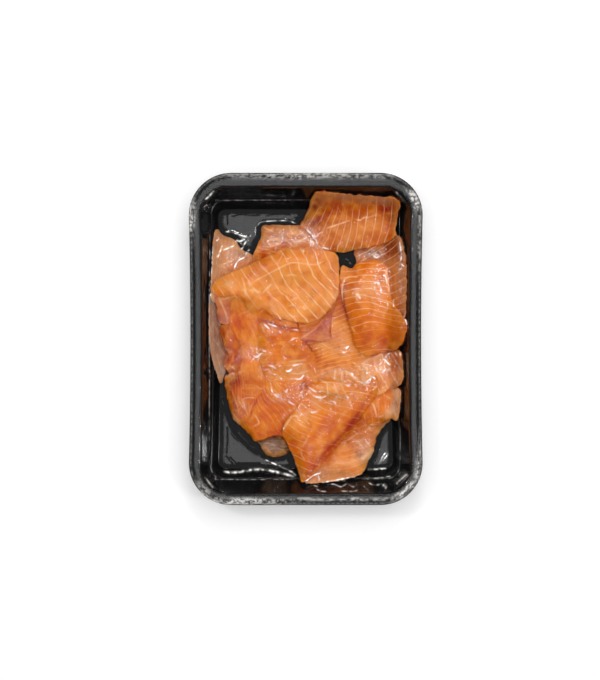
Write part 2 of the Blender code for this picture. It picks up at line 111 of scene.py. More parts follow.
# Trimmings from the lowest to the highest. A form has the finish, the flesh's colour, the thickness, how far
# in the edge is rounded, and how strong and wide the septa are, the pale sheets between the muscle's blocks.
# Each guide to the septa has its number in the row and points along it; the others are spaced evenly between.
# A patch has its colour, strength, middle, half sizes and turn. A stroke has its colour, half width, strength
# and points. Septa and strokes are left out where there are none.
# Most patches and strokes are the flesh's own colour; some are painted shade in valleys and under edges, and
# some are painted highlight where the film glints.
FORM = ("finish", "flesh", "thick", "round", "septa_strength", "septa_width")
TRIMMINGS = {
    "scrap_dark": {
        "form": ("brown_flesh", "umber", 3.0, 1.5, 0.25, 0.3),
        "outline": (
            (-29, -61), (-27.5, -65), (-25, -69), (-21.5, -71.5), (-16.5, -71.5), (-12, -70), (-9, -67),
            (-9.5, -63), (-13, -58), (-21.5, -57),
        ),
        "septa": (
            (0, ((-26.5, -61), (-12, -61.5))), (2, ((-25, -66.5), (-18.5, -67.5), (-10.5, -66))),
        ),
        "patches": (
            ("dark", 0.7, -26.5, -68.5, 3.5, 2.5, -40), ("grey", 0.6, -20.5, -64.5, 5.5, 3, 0),
            ("dark", 0.6, -10.5, -66.5, 2.5, 4.5, 0),
        ),
        "strokes": (
            ("fat", 0.4, 0.6, ((-25.8, -63.4), (-22.7, -62.8), (-18.5, -64.6))),
            ("fat", 0.3, 0.5, ((-22.7, -67.1), (-17.9, -65.9), (-13.1, -67.1))),
            ("fat", 0.3, 0.5, ((-15.5, -64.6), (-13.1, -65.2), (-10.7, -64.6))),
            ("blush", 0.4, 0.5, ((-24.5, -65.9), (-21.5, -65.2))),
        ),
    },
    "fat_strip": {
        "form": ("fat", "grey", 3.0, 1.6, 0.0, 0.2),
        "outline": (
            (-56, 31), (-57, 24.5), (-57.5, 16), (-57, -6.5), (-55.5, -14), (-53.5, -21), (-52, -26),
            (-50.5, -26.5), (-49, -22), (-48, -17), (-46.5, -14), (-46.5, -9), (-50.5, 0.5), (-51, 8.5),
            (-52.5, 16), (-53, 24.5),
        ),
        "patches": (
            ("fat", 0.7, -54, -16, 3, 8, -8), ("taupe", 0.6, -55, 23.5, 2.5, 7, 0),
            ("russet", 0.5, -48.5, -8, 2, 3, 0),
        ),
        "strokes": (
            ("fat", 0.6, 0.75, ((-55.4, 27), (-55.4, -3.6), (-53.9, -16.2), (-51.8, -24))),
            ("russet", 0.4, 0.55, ((-53, 12.6), (-52.1, 3), (-50, -6))),
            ("cream", 0.3, 0.55, ((-55.7, 10.2), (-52.4, 3.6))),
            ("cream", 0.3, 0.5, ((-55.7, 0.6), (-51.5, -4.8))),
            ("cream", 0.4, 0.55, ((-53.9, -7.8), (-50.6, -19.8))),
            ("fat", 0.3, 0.7, ((-55.7, -12), (-53.9, -10.2), (-52.1, -12), (-50.3, -16.2), (-50, -22.2))),
            ("fat", 0.4, 0.6, ((-52.1, -5.4), (-47.6, -10.8))),
            ("fat", 0.3, 0.5, ((-55.7, 25.8), (-55.1, 19.8), (-55.7, 12.6))),
            ("fat", 0.3, 0.5, ((-52.7, 6.6), (-52.1, 0.6), (-52.7, -4.2))),
            ("taupe", 0.4, 0.6, ((-54.5, 9), (-53.3, -7.8))),
        ),
    },
    "trim_pale": {
        "form": ("pale_flesh", "sand", 4.0, 2.2, 0.35, 0.3),
        "outline": (
            (-55.5, 53.5), (-54.5, 64), (-52.5, 66), (-49.5, 62.5), (-46, 61.5), (-42.5, 59.5),
            (-38.5, 54.5), (-31, 49.5), (-26.5, 42.5), (-26.5, 32.5), (-36.5, 23.5), (-50.5, 21.5),
            (-56, 23.5), (-56.5, 32.5),
        ),
        "septa": (
            (0, ((-55, 61), (-56.5, 33))), (5, ((-43.5, 59.5), (-46.5, 33))),
            (9, ((-33.5, 51), (-35.5, 44), (-39.5, 35.5))),
        ),
        "patches": (
            ("blush", 0.5, -36, 46.5, 6, 5.5, 0), ("taupe", 0.5, -37, 52.5, 3.5, 3, 0),
            ("peach", 0.5, -50.5, 48.5, 3.5, 11.5, 0), ("orange", 0.45, -44.5, 44, 3, 4, 0),
            ("cream", 0.3, -54, 33, 3, 5.5, 10),
        ),
        "strokes": (
            # The cream strokes here are painted highlights where the film glints over this piece.
            ("cream", 0.4, 0.8, ((-51.5, 43.9), (-43.7, 47.8))),
            ("cream", 0.4, 0.7, ((-52.1, 42.7), (-49.7, 43.6), (-47.3, 42.1))),
            ("cream", 0.5, 0.7, ((-50, 56.5), (-52.7, 49.3))),
            ("cream", 0.4, 0.7, ((-49.7, 53.5), (-43.1, 56.5))),
            ("russet", 0.4, 0.5, ((-47.9, 43.9), (-45.5, 40.3), (-43.7, 41.5), (-42.5, 47.5))),
            ("cream", 0.4, 0.5, ((-53.3, 62), (-52.1, 60.2), (-53.3, 59))),
        ),
    },
    "strip_right": {
        "form": ("orange_flesh", "tan", 4.0, 2.5, 0.75, 0.24),
        "outline": (
            (30, 54), (47, 58), (56, 61.5), (59.5, 41), (59, 15), (57.5, 9), (49, 4), (37, 5.5),
            (29, 23.5), (29, 39), (30.5, 46),
        ),
        "septa": (
            (0, ((43, 53), (50.5, 53), (56.5, 59))), (1, ((45.5, 46.5), (52, 48.5), (57, 54))),
            (2, ((48, 41), (54, 44), (57.5, 48.5))), (3, ((50.5, 37), (55, 39), (58, 41))),
            (4, ((50.5, 31.5), (59, 35.5))), (5, ((51, 27.5), (59, 30.5))), (6, ((51.5, 23.5), (59, 26))),
            (8, ((53, 15.5), (58, 17.5))), (-2, ((33.5, 51.5), (39.5, 53), (47, 57.5))),
        ),
        "patches": (
            ("taupe", 0.8, 39.5, 53, 8, 3, 8), ("mauve", 0.4, 33.5, 49.5, 4, 3, 0),
            ("brown", 0.55, 48, 55.5, 5.5, 2.5, 15), ("russet", 0.5, 53.5, 55.5, 3, 4, 0),
            ("peach", 0.55, 54.5, 29.5, 4, 15, 0), ("brown", 0.5, 58, 10, 2.5, 3.5, 0),
        ),
        "strokes": (
            ("cream", 0.4, 0.7, ((39.6, 51.4), (41.4, 50.2), (43.8, 50.5))),
            ("russet", 0.4, 0.6, ((40.8, 50.2), (44.4, 45.4))),
            ("cream", 0.3, 0.6, ((34.3, 46.6), (36.6, 46))),
            ("cream", 0.3, 0.5, ((31.9, 52), (32.5, 49), (31.3, 47.2))),
        ),
    },
    "slice_under": {
        "form": ("pale_flesh", "peach", 5.0, 2.6, 0.35, 0.3),
        "outline": (
            (51, -47.5), (48, -52), (44.5, -56.5), (43, -60), (42, -64), (40.5, -69), (35.5, -78.5),
            (32, -82), (19.5, -84.5), (10, -85.5), (2.5, -86), (-1, -84.5), (-4, -76), (0, -64),
            (17.5, -48.5), (30, -34), (47, -36.5),
        ),
        "septa": (
            (0, ((18, -66.5), (23, -68), (29.5, -66))), (1, ((15, -70), (21, -71.5), (30, -69.5))),
            (2, ((13, -73.5), (19.5, -75.5), (29, -73))), (3, ((9, -77), (17.5, -79), (28.5, -77))),
            (4, ((4, -81), (14.5, -82), (28, -80))), (-2, ((26.5, -59.5), (32.5, -57), (38.5, -52))),
            (-4, ((34, -51), (40, -48), (46, -44))),
        ),
        "patches": (
            ("amber", 0.6, 26.5, -68.5, 7, 3, 0), ("peach", 0.5, 11.5, -81, 10.5, 3, 6),
            ("orange", 0.6, 23.5, -78.5, 9.5, 2.5, 6), ("cream", 0.9, 37, -71, 3.5, 2, 48),
            ("cream", 0.6, 40, -66.5, 2, 2, 0), ("red", 0.6, 40.5, -60, 2, 3, 30),
            ("rose", 0.5, 39, -64, 2.5, 2.5, 0), ("taupe", 0.5, 31.5, -69.5, 2.5, 3, 0),
            ("blush", 0.5, 34, -62, 4, 3.5, 0), ("ochre", 0.6, 35, -76, 2, 3.5, -35),
            ("deep", 0.5, 40, -53.5, 4.5, 3, 30), ("taupe", 0.4, 46.5, -51, 3, 3, 0),
            ("deep", 0.4, 44.5, -46, 4.5, 2, 20),
        ),
        "strokes": (
            ("cream", 0.3, 0.6, ((30.2, -60.6), (35, -66))),
            ("cream", 0.3, 0.55, ((21.8, -61.8), (26, -60.6), (29.6, -58.2))),
            ("fat", 0.3, 0.5, ((27.8, -64.2), (31.4, -63), (35, -60.6))),
            ("umber", 0.3, 0.6, ((32, -67.8), (33.2, -70.2), (32, -72.6))),
            ("umber", 0.3, 0.5, ((34.4, -63), (36.8, -66.6), (39.8, -67.8))),
            ("cream", 0.3, 0.5, ((27.8, -72.6), (31.4, -73.2))),
            ("cream", 0.4, 0.5, ((20.6, -63), (24.2, -62.4))),
            ("deep", 0.3, 0.5, ((16.4, -68.4), (21.2, -69.9), (27.8, -68.4))),
            ("cream", 0.3, 0.5, ((38.6, -48.6), (38, -52.2), (39.2, -55.2))),
            ("brown", 0.4, 0.7, ((39.8, -65.4), (41.6, -64.2))),
        ),
    },
    "trim_side": {
        "form": ("rose_flesh", "copper", 4.0, 2.4, 0.2, 0.3),
        "outline": (
            (-51, 8), (-47.5, 9.5), (-43.5, 9), (-41.5, 4), (-35.5, -12.5), (-35, -18), (-38.5, -23),
            (-43.5, -23), (-46.5, -20.5), (-48.5, -16), (-46.5, -11), (-51, 3),
        ),
        "septa": (
            (0, ((-45.5, 6.5), (-43, -15.5))), (2, ((-40.5, 2), (-39, -6.5), (-38.5, -17.5))),
        ),
        "patches": (
            ("brown", 0.75, -48, -6.5, 2.5, 4.5, 10), ("deep", 0.3, -40.5, -6.5, 3, 7, -10),
            ("orange", 0.45, -39.5, 4, 3, 3, 0), ("brown", 0.5, -50.5, 2, 1.5, 4.5, 0),
            ("rust", 0.5, -44.5, -20, 4, 2.5, 0),
        ),
        "strokes": (
            ("peach", 0.4, 0.4, ((-43.1, -9), (-47.3, -18.6))),
            ("peach", 0.3, 0.45, ((-45.5, 6.6), (-50.9, -4.8))),
            ("cream", 0.3, 0.45, ((-46.1, -16.2), (-43.7, -17.4), (-41.9, -19.2))),
            ("peach", 0.3, 0.4, ((-44.3, 5.4), (-43.7, 0.6))),
        ),
    },
    "trim_top": {
        "form": ("pale_flesh", "salmon", 5.5, 2.8, 0.25, 0.25),
        "outline": (
            (-27, 66), (-26, 68.5), (-21.5, 69), (-1, 68.5), (5, 66), (12, 59.5), (18, 52), (17, 42.5),
            (-1, 36.5), (-21.5, 36.5), (-30, 42.5), (-32, 48.5), (-30.5, 53.5), (-27, 61.5),
        ),
        "septa": (
            (0, ((-28.5, 57), (-22.5, 54.5), (-15.5, 53.5))), (1, ((-28, 61), (-21.5, 59.5), (-14, 60))),
            (2, ((-26, 65.5), (-18, 64), (-8, 64))), (3, ((-26, 69), (-2, 67.5))),
            (-2, ((-30, 48.5), (-9.5, 46))),
        ),
        "patches": (
            ("rust", 0.85, -26, 49.5, 4, 3, 0), ("deep", 0.7, -20, 52, 4.5, 3, 0),
            ("rust", 0.5, -12.5, 58.5, 4, 3, 0), ("orange", 0.5, -6, 53.5, 9.5, 3, 0),
            ("taupe", 0.5, -19, 67.5, 9.5, 2, 0), ("blush", 0.5, -10.5, 61.5, 4.5, 3.5, 0),
            ("peach", 0.4, -3.5, 60.5, 4.5, 3.5, 0), ("brown", 0.4, -30, 48.5, 2.5, 3, 0),
            ("orange", 0.4, -20, 64, 4.5, 2.5, 0),
        ),
        "strokes": (
            # Several of the cream strokes here, the loop among them, are painted highlights where the film
            # glints.
            ("cream", 0.4, 0.75, ((-25.6, 68), (-23.2, 66.2), (-20.2, 65.3))),
            ("cream", 0.4, 0.8, ((-23.2, 58.1), (-21.4, 59.9), (-17.2, 60.5), (-14.8, 59.6),
                (-16.6, 57.5), (-19, 56.3), (-21.4, 56.9), (-23.2, 58.7))),
            ("cream", 0.3, 0.6, ((-29.2, 55.7), (-25.6, 54.2), (-22.6, 53.9))),
            ("cream", 0.3, 0.7, ((-18.4, 52.7), (-17.5, 50.3), (-19.6, 48.5))),
            ("cream", 0.5, 0.6, ((-6.4, 60.2), (-3.4, 59.3), (-0.4, 60.5), (0.2, 62.9))),
            ("cream", 0.3, 0.5, ((-10, 68.3), (-8.8, 65.3), (-7, 62.9))),
            ("cream", 0.3, 0.5, ((-11.8, 59.3), (-7, 55.7))),
            ("cream", 0.7, 0.5, ((-14.8, 62.3), (-13, 61.1))),
            ("peach", 0.3, 0.5, ((-1.6, 68.9), (1.4, 67.1))),
            ("cream", 0.3, 0.5, ((-26.2, 59.3), (-22.6, 54.5))),
        ),
    },
    "fold_left": {
        "form": ("orange_flesh", "orange", 6.0, 3.5, 0.15, 0.3),
        "outline": (
            (-50, 23.5), (-44, 28.5), (-34.5, 31), (-22.5, 28.5), (-9.5, 22), (-4.5, 8.5), (-7, -12.5),
            (-15.5, -22), (-33.5, -24.5), (-40.5, -20.5), (-38.5, -10), (-41, -0.5), (-45.5, 8),
        ),
        "septa": (
            (0, ((-41.5, 23.5), (-39.5, 12.5), (-34.5, 2))), (2, ((-35.5, 23.5), (-32, 12.5), (-26, 2))),
            (5, ((-26, 12.5), (-21.5, 2), (-19, -9))),
        ),
        "patches": (
            ("deep", 0.6, -41.5, 12.5, 3, 6, 0), ("apricot", 0.6, -33.5, -1, 4.5, 4, -40),
            ("amber", 0.6, -28.5, -3, 3, 5.5, 0), ("rust", 0.5, -26, 11.5, 3.5, 3, -30),
            ("deep", 0.5, -20, -3, 2.5, 4.5, 0), ("peach", 0.4, -41.5, 21, 3.5, 3, 0),
            ("orange", 0.5, -30, -15, 7, 3.5, 0), ("blush", 0.35, -33.5, 20, 3.5, 3, 0),
        ),
        "strokes": (
            ("blush", 0.4, 0.75, ((-38.1, 0.6), (-35.7, -2.4), (-31.6, -5.4))),
            ("rust", 0.5, 0.6, ((-29.8, 11.4), (-20.2, -2.4))),
            ("cream", 0.4, 0.6, ((-45.3, 24), (-46.8, 19.8), (-47.1, 15.6))),
            ("peach", 0.4, 0.7, ((-39.3, 15), (-35.7, 16.2), (-32.7, 18.6), (-28, 27.6))),
            ("rust", 0.5, 0.4, ((-40.5, 25.2), (-36.9, 22.2), (-35.7, 18))),
            ("peach", 0.3, 0.4, ((-26.2, -15), (-22.6, -17.4), (-20.2, -20.4))),
            ("peach", 0.3, 0.5, ((-14.8, -7.8), (-13, -11.4))),
        ),
    },
    "band_middle": {
        "form": ("orange_flesh", "apricot", 5.0, 3.0, 0.45, 0.3),
        "outline": (
            (9.5, 37.5), (18, 39.5), (27.5, 34), (37, 23.5), (43, 5.5), (47, -12.5), (43, -29.5),
            (26.5, -34), (8.5, -30.5), (-1, -18.5), (-4.5, -0.5), (-3.5, 16), (1.5, 29.5),
        ),
        "septa": (
            (0, ((15.5, 16.5), (23.5, 22))), (2, ((15.5, 11), (20, 14.5), (25.5, 16.5))),
            (4, ((15.5, 5), (21, 8.5), (27.5, 10))), (6, ((15, -0.5), (21.5, 3), (29, 5))),
            (8, ((9, -5.5), (15, -2), (23.5, -0.5))), (10, ((7.5, -10), (14.5, -6.5), (24, -5.5))),
            (14, ((9.5, -18.5), (32.5, -13.5))),
        ),
        "patches": (
            ("amber", 0.75, 24, -11, 6.5, 4, 10), ("blush", 0.5, 18.5, 3.5, 5.5, 6, 0),
            ("rose", 0.6, 21.5, 21.5, 2.5, 8, 0), ("peach", 0.5, 23.5, -1, 4.5, 3.5, 0),
            ("orange", 0.5, 11, -13.5, 4.5, 3.5, 30), ("rust", 0.5, 14, -16, 4, 1.5, 35),
            ("apricot", 0.5, 35, -11.5, 4.5, 4.5, 0), ("rust", 0.4, 27.5, 12.5, 2, 5.5, 10),
            ("deep", 0.5, 6, -10, 2, 4.5, 20),
        ),
        "strokes": (
            ("cream", 0.4, 0.8, ((27.1, 7.8), (34.8, -11.4))),
            ("cream", 0.3, 0.5, ((27.7, -13.7), (31.3, -16.1), (33.7, -19.7))),
            ("peach", 0.4, 0.5, ((10.9, -7.8), (12.7, -4.8), (16.9, -6))),
            ("cream", 0.3, 0.45, ((20.5, 5.4), (24.1, 7.8), (25.9, 7.2))),
        ),
    },
    "trim_fringe": {
        "form": ("pale_flesh", "orange", 4.0, 2.2, 0.3, 0.3),
        "outline": (
            (38.5, -34), (42, -29.5), (48, -28), (55.5, -29), (56.5, -33), (56.5, -38), (55, -47),
            (53.5, -49), (51, -48), (44, -52), (37.5, -51.5), (33, -44),
        ),
        "septa": (
            (0, ((37.5, -36.5), (40, -44), (40, -51))), (2, ((46, -30.5), (48, -39), (48, -47.5))),
            (3, ((52, -29.5), (53, -38), (52.5, -47.5))),
        ),
        "patches": (
            ("cream", 0.75, 54, -33, 2, 4.5, 0), ("fat", 0.75, 53, -41.5, 2.5, 4.5, 0),
            ("amber", 0.6, 46, -41.5, 3, 3.5, 0), ("deep", 0.5, 40, -45, 3.5, 4.5, 0),
            ("cream", 0.5, 49.5, -44.5, 3, 2, 15), ("brown", 0.5, 47, -48.5, 5.5, 2, 20),
            ("peach", 0.45, 44.5, -32.5, 3.5, 2.5, 0),
        ),
        "strokes": (
            ("cream", 0.4, 0.8, ((39.2, -38.4), (41, -40.2), (42.8, -46.8))),
            ("cream", 0.3, 0.6, ((45.2, -31.2), (48.2, -34.2), (51.2, -36))),
            ("umber", 0.4, 0.6, ((54.8, -36), (54.2, -38.4), (55.4, -41.4))),
            ("cream", 0.3, 0.5, ((43.4, -35.4), (44, -42.6))),
            ("umber", 0.3, 0.5, ((52.4, -44.4), (53.6, -47.4))),
        ),
    },
    "trim_low_right": {
        "form": ("pale_flesh", "peach", 4.0, 2.4, 0.6, 0.22),
        "outline": (
            (41.5, -11), (44.5, -8.5), (48, -8), (51, -6), (54, -6), (56.5, -7.5), (57.5, -11.5),
            (58, -16), (57.5, -25.5), (55, -28.5), (50.5, -30), (44.5, -33.5), (37.5, -31.5),
            (33.5, -23.5), (35, -14),
        ),
        "septa": (
            (0, ((42, -16), (50, -30.5))), (1, ((47, -11.5), (54.5, -25.5))),
            (2, ((51, -7), (57.5, -21))), (-1, ((39, -23.5), (44.5, -31))),
        ),
        "patches": (
            ("ochre", 0.7, 54.5, -13, 2.5, 4, 0), ("peach", 0.5, 47.5, -16, 3.5, 4.5, 0),
            ("brown", 0.6, 54, -27.5, 3.5, 2, 15), ("taupe", 0.5, 48.5, -10, 3, 2, 20),
            ("deep", 0.4, 43.5, -28, 3, 2.5, 0), ("blush", 0.4, 51.5, -22, 4, 4, 0),
            ("brown", 0.35, 57.5, -18.5, 2, 8, 0),
        ),
        "strokes": (
            ("cream", 0.4, 0.5, ((41.5, -12.6), (43.3, -10.2), (46.3, -9))),
            ("cream", 0.3, 0.55, ((55.8, -8.4), (56.4, -11.4))),
            ("peach", 0.3, 0.5, ((39.7, -16.2), (42.1, -22.1), (43.3, -28.1))),
        ),
    },
    "fold_middle": {
        "form": ("rose_flesh", "orange", 4.5, 3.0, 0.25, 0.3),
        "outline": (
            (-26, 12.5), (-17.5, 16), (-8, 13.5), (-1.5, 2), (5, -8.5), (6.5, -16), (4.5, -27),
            (0, -37.5), (-7, -37.5), (-23.5, -24.5), (-27.5, -13.5), (-28.5, 0.5),
        ),
        "septa": (
            (0, ((-12.5, -12), (4, -10.5))), (6, ((-12.5, -24.5), (2.5, -22.5))),
            (-4, ((-16.5, -0.5), (-8, 0.5), (0, -2))),
        ),
        "patches": (
            ("apricot", 0.7, -9.5, -5.5, 6.5, 3.5, 0), ("rust", 0.7, 2, -4, 2, 3.5, 35),
            ("peach", 0.65, -6, -16, 6.5, 4, 5), ("rust", 0.7, -1.5, -29.5, 3, 3.5, 0),
            ("rose", 0.5, -3.5, -33, 3.5, 3, 0), ("deep", 0.5, -8, -10.5, 7, 1, 0),
            ("amber", 0.4, 1.5, -21, 3.5, 2.5, 0), ("rust", 0.35, -19, 0.5, 2.5, 2.5, 0),
            ("orange", 0.5, -17.5, -19.5, 5.5, 4, 0),
        ),
        "strokes": (
            # Painted shade along the valley under slice_centre, on this stroke and the next.
            ("rust", 0.9, 0.6, ((-26.1, 13.1), (-20.1, 9.5), (-13, 7.2), (-4.6, 7.2), (3.8, 9.5))),
            ("maroon", 0.4, 0.5, ((-24.9, 11.9), (-17.7, 8.4), (-9.4, 6.6), (-1, 7.8))),
            ("cream", 0.4, 0.5, ((-9.4, -13.7), (0.2, -12.5))),
            ("cream", 0.3, 0.5, ((-11.2, -16.1), (-5.8, -15.2), (-0.4, -15.5))),
            ("cream", 0.4, 0.55, ((-9.4, -20.3), (-4, -20.9), (1.4, -19.1))),
            ("cream", 0.3, 0.5, ((-10, -23.9), (-1, -24.5))),
            ("cream", 0.3, 0.6, ((-1.6, -28.1), (-1, -30.5), (0.8, -31.6))),
            ("rust", 0.7, 0.75, ((-2.2, 0.6), (0.8, -2.4), (5, -8.4))),
            ("cream", 0.3, 0.6, ((-5.8, -31.6), (-4, -29.3))),
            ("mauve", 0.6, 0.5, ((-4.6, -26.9), (-2.8, -29.3), (-1, -27.5))),
            ("cream", 0.4, 0.5, ((-4.6, -35.2), (-2.2, -32.8), (-0.4, -34))),
        ),
    },
    "flap_left": {
        "form": ("rose_flesh", "blush", 3.0, 1.5, 0.0, 0.2),
        "outline": (
            (-53.5, 25.5), (-49, 26.5), (-44, 25), (-45, 20.5), (-46, 10), (-48, 8.5), (-51, 9.5),
            (-52.5, 13),
        ),
        "patches": (
            ("peach", 0.5, -49, 24, 3.5, 2, 0), ("russet", 0.5, -52.5, 16, 1.5, 5.5, 0),
            ("taupe", 0.4, -50, 11.5, 3, 2.5, 0),
        ),
        "strokes": (
            ("cream", 0.5, 0.75, ((-51.8, 24.5), (-48.2, 16.1), (-47, 11.4))),
            ("cream", 0.4, 0.5, ((-50.6, 23.9), (-48.2, 23.9), (-45.8, 24.8))),
            ("blush", 0.4, 0.5, ((-50, 23.3), (-48.2, 19.7), (-47.6, 16.1))),
        ),
    },
    "slice_tail": {
        "form": ("orange_flesh", "copper", 6.0, 3.0, 0.75, 0.24),
        "outline": (
            (2, 79.5), (3, 83.5), (6, 87), (11, 87.5), (30, 85.5), (50.5, 84.5), (54, 82.5), (56, 80),
            (54, 65), (54.5, 61.5), (50.5, 59), (44, 56.5), (24, 52.5), (19, 52), (12.5, 54), (7.5, 57),
            (2, 65), (-3, 67), (-2, 72), (0, 75.5),
        ),
        "septa": (
            (0, ((18.5, 53), (21.5, 60), (23, 67))), (1, ((23.5, 53.5), (26.5, 61), (28.5, 81))),
            (2, ((28, 54.5), (31, 62.5), (33, 82.5))), (3, ((33.5, 55.5), (36.5, 73), (37, 82.5))),
            (4, ((38.5, 56.5), (42.5, 74.5), (42, 84))), (5, ((43, 57.5), (47.5, 75), (46.5, 83))),
            (6, ((47, 58), (50, 66), (51.5, 75), (51.5, 82.5))), (-1, ((14.5, 54), (18, 61), (19, 66.5))),
            (-2, ((11, 56), (14.5, 62.5), (15, 67))), (-4, ((4.5, 63.5), (8.5, 72), (14.5, 79))),
            (-6, ((0, 73), (2.5, 79), (6, 84))),
        ),
        "patches": (
            ("brown", 0.7, 6, 78, 7.5, 5.5, 0), ("brown", 0.55, 3, 73, 3.5, 4.5, 0),
            ("deep", 0.6, 17, 79, 9.5, 3.5, -5), ("red", 0.9, 49.5, 77.5, 4.5, 2.5, -12),
            ("rust", 0.6, 44, 78, 4.5, 2.5, 0), ("maroon", 0.6, 52, 75, 3, 3, 0),
            ("rust", 0.75, 50.5, 65, 2, 4, 0), ("taupe", 0.65, 20.5, 84.5, 15, 2, 0),
            ("taupe", 0.6, 45.5, 82.5, 8, 2.5, -4), ("peach", 0.45, 26.5, 63.5, 11.5, 6, 0),
            ("deep", 0.5, 33.5, 77.5, 8, 3, 5), ("deep", 0.55, 42, 57, 4.5, 2, 10),
            ("brown", 0.55, 21.5, 53.5, 7, 2, 5), ("deep", 0.5, 8, 63, 3.5, 4.5, 10),
            ("peach", 0.4, 39.5, 68.5, 4.5, 5.5, 0), ("taupe", 0.4, 53.5, 69.5, 1.5, 5.5, 0),
        ),
        "strokes": (
            ("cream", 0.4, 0.85, ((12.6, 66.6), (26.3, 71.3))),
            ("cream", 0.4, 0.9, ((30.5, 71.9), (32.9, 71.6), (35.2, 73.1), (37.6, 73.1))),
            ("cream", 0.3, 0.6, ((37.6, 73.1), (43, 74.9))),
            ("peach", 0.3, 0.5, ((9.7, 67.2), (12.1, 65.4), (13.2, 63))),
            ("peach", 0.3, 0.5, ((20.4, 68.9), (22.2, 67.8), (22.8, 64.8))),
            ("peach", 0.3, 0.5, ((27.5, 85), (28.1, 82.6), (26.9, 80.2))),
            ("peach", 0.3, 0.5, ((41.8, 83.8), (43, 79.6))),
            ("cream", 0.3, 0.4, ((19.2, 79), (21, 76.1))),
        ),
    },
    "slice_right": {
        "form": ("orange_flesh", "orange", 6.0, 3.6, 0.85, 0.24),
        "outline": (
            (22, 44.5), (27, 42.5), (30.5, 45.5), (36, 47), (42.5, 48), (47, 45.5), (49.5, 40.5),
            (51, 25.5), (54, 19), (60, 9.5), (60, 6), (56.5, -4), (52, -7), (33.5, -9), (27, 6.5),
            (24, 16), (21.5, 26), (20, 35.5),
        ),
        "septa": (
            (0, ((30, 44), (36.5, 45.5), (43, 46))), (1, ((26.5, 40.5), (36, 42), (44.5, 41))),
            (2, ((21.5, 37), (38, 39), (47.5, 36))), (3, ((24, 33), (32, 34.5), (39.5, 34.5), (49, 31))),
            (4, ((25, 29), (33, 30.5), (40.5, 29.5), (50, 26))),
            (5, ((25, 23.5), (32, 26), (41, 25), (50.5, 21.5))),
            (6, ((25.5, 19.5), (33, 22.5), (41.5, 20.5), (52, 17))),
            (7, ((27, 15.5), (34, 18.5), (53.5, 13.5))), (8, ((28.5, 11.5), (36.5, 15), (55.5, 10))),
            (9, ((30.5, 6.5), (39, 10.5), (47, 9.5), (57, 6.5))),
            (12, ((33.5, -4), (41.5, -2), (50, -2))),
        ),
        "patches": (
            ("rose", 0.7, 22.5, 29, 2, 9.5, 0), ("red", 0.55, 24.5, 13, 1.5, 3.5, 15),
            # Painted shadow under this slice's lower edge, from the two spots on this line.
            ("brown", 0.25, 45.5, -5.5, 8, 2, 0), ("deep", 0.4, 46.5, -1, 10.5, 3.5, -10),
            ("deep", 0.5, 36, 2, 6, 7, 0), ("amber", 0.6, 45.5, 15.5, 7, 3, -10),
            ("peach", 0.45, 33.5, 28.5, 8, 4.5, 0), ("rust", 0.4, 26.5, 32, 3, 3, 0),
            ("blush", 0.5, 26.5, 41, 4.5, 2.5, -20), ("peach", 0.5, 49, 34, 2.5, 6, 0),
            ("deep", 0.5, 58, 6.5, 3, 5.5, 15), ("amber", 0.4, 39.5, 23.5, 8, 4, 0),
            ("rust", 0.4, 36, 0.5, 2, 3, 0), ("orange", 0.4, 39.5, 45.5, 7, 2, 5),
        ),
        "strokes": (
            # Painted highlight: this cream streak is where the film glints.
            ("cream", 0.5, 0.7, ((48.3, 41), (48, 37.4), (49.4, 32.6), (50, 27.9))),
            ("cream", 0.5, 0.8, ((27.5, 37.7), (23.9, 36.2), (22.4, 33.2), (21.8, 27.9), (22.1, 23.1))),
            ("rose", 0.5, 0.7, ((22.7, 23.1), (27.5, 8.9))),
            ("maroon", 0.4, 0.6, ((20.9, 19.6), (22.1, 16.6))),
            ("cream", 0.4, 0.7, ((27.5, 37.4), (31, 37.4))),
            ("cream", 0.4, 0.5, ((29.8, 4.1), (27.5, 7.1))),
            ("peach", 0.3, 0.45, ((41.7, -1.8), (45.9, 0.6), (50, 1.8))),
        ),
    },
    "membrane_flap": {
        "form": ("rose_flesh", "rose", 2.0, 1.0, 0.0, 0.2),
        "outline": (
            (18, 22.5), (16.5, 16), (15.5, 10), (15, 4), (15.5, -0.5), (9.5, -2), (-3.5, 0), (7.5, 8.5),
        ),
        "patches": (
            ("mauve", 0.6, 8.5, 5, 4.5, 3.5, 30), ("red", 0.5, 15, 5.5, 1, 4.5, 0),
            ("peach", 0.4, 5, 1, 4.5, 2, 20), ("rose", 0.4, 16.5, 17.5, 2, 4, 0),
        ),
        "strokes": (
            ("peach", 0.5, 0.9, ((-3.4, 0), (1.4, 3), (7.3, 8), (18.1, 22.1))),
            ("rust", 0.4, 0.6, ((15.1, 10.1), (14.8, 4.2), (15.4, 0))),
            ("peach", 0.3, 0.5, ((-1, 0.6), (3.8, 0.3), (9.7, -1.2))),
        ),
    },
    "edge_low": {
        "form": ("pale_flesh", "apricot", 3.0, 1.6, 0.0, 0.2),
        "outline": (
            (5.5, -27), (8.5, -23.5), (15, -18), (19, -17.5), (23.5, -18), (28, -20.5), (33, -24.5),
            (32.5, -29), (26.5, -33), (18, -33.5), (9.5, -31.5),
        ),
        "patches": (
            ("blush", 0.6, 14.5, -22, 4, 3, 30), ("rust", 0.6, 9, -24.5, 2.5, 1, 0),
            ("rust", 0.4, 18.5, -18, 4.5, 1, 0), ("peach", 0.5, 19, -22, 2.5, 2.5, 0),
        ),
        "strokes": (
            ("cream", 0.4, 0.8, ((18, -18.2), (17.2, -25))),
            ("cream", 0.4, 0.8, ((22.2, -19.1), (21.6, -22.6), (21.9, -26.2))),
            ("cream", 0.4, 0.8, ((8.5, -24.4), (12.7, -25.6), (22.2, -25.6))),
            ("cream", 0.6, 0.8, ((23.4, -19.1), (31.2, -24.1))),
            ("blush", 0.3, 0.6, ((14.5, -19.1), (9.1, -23.8))),
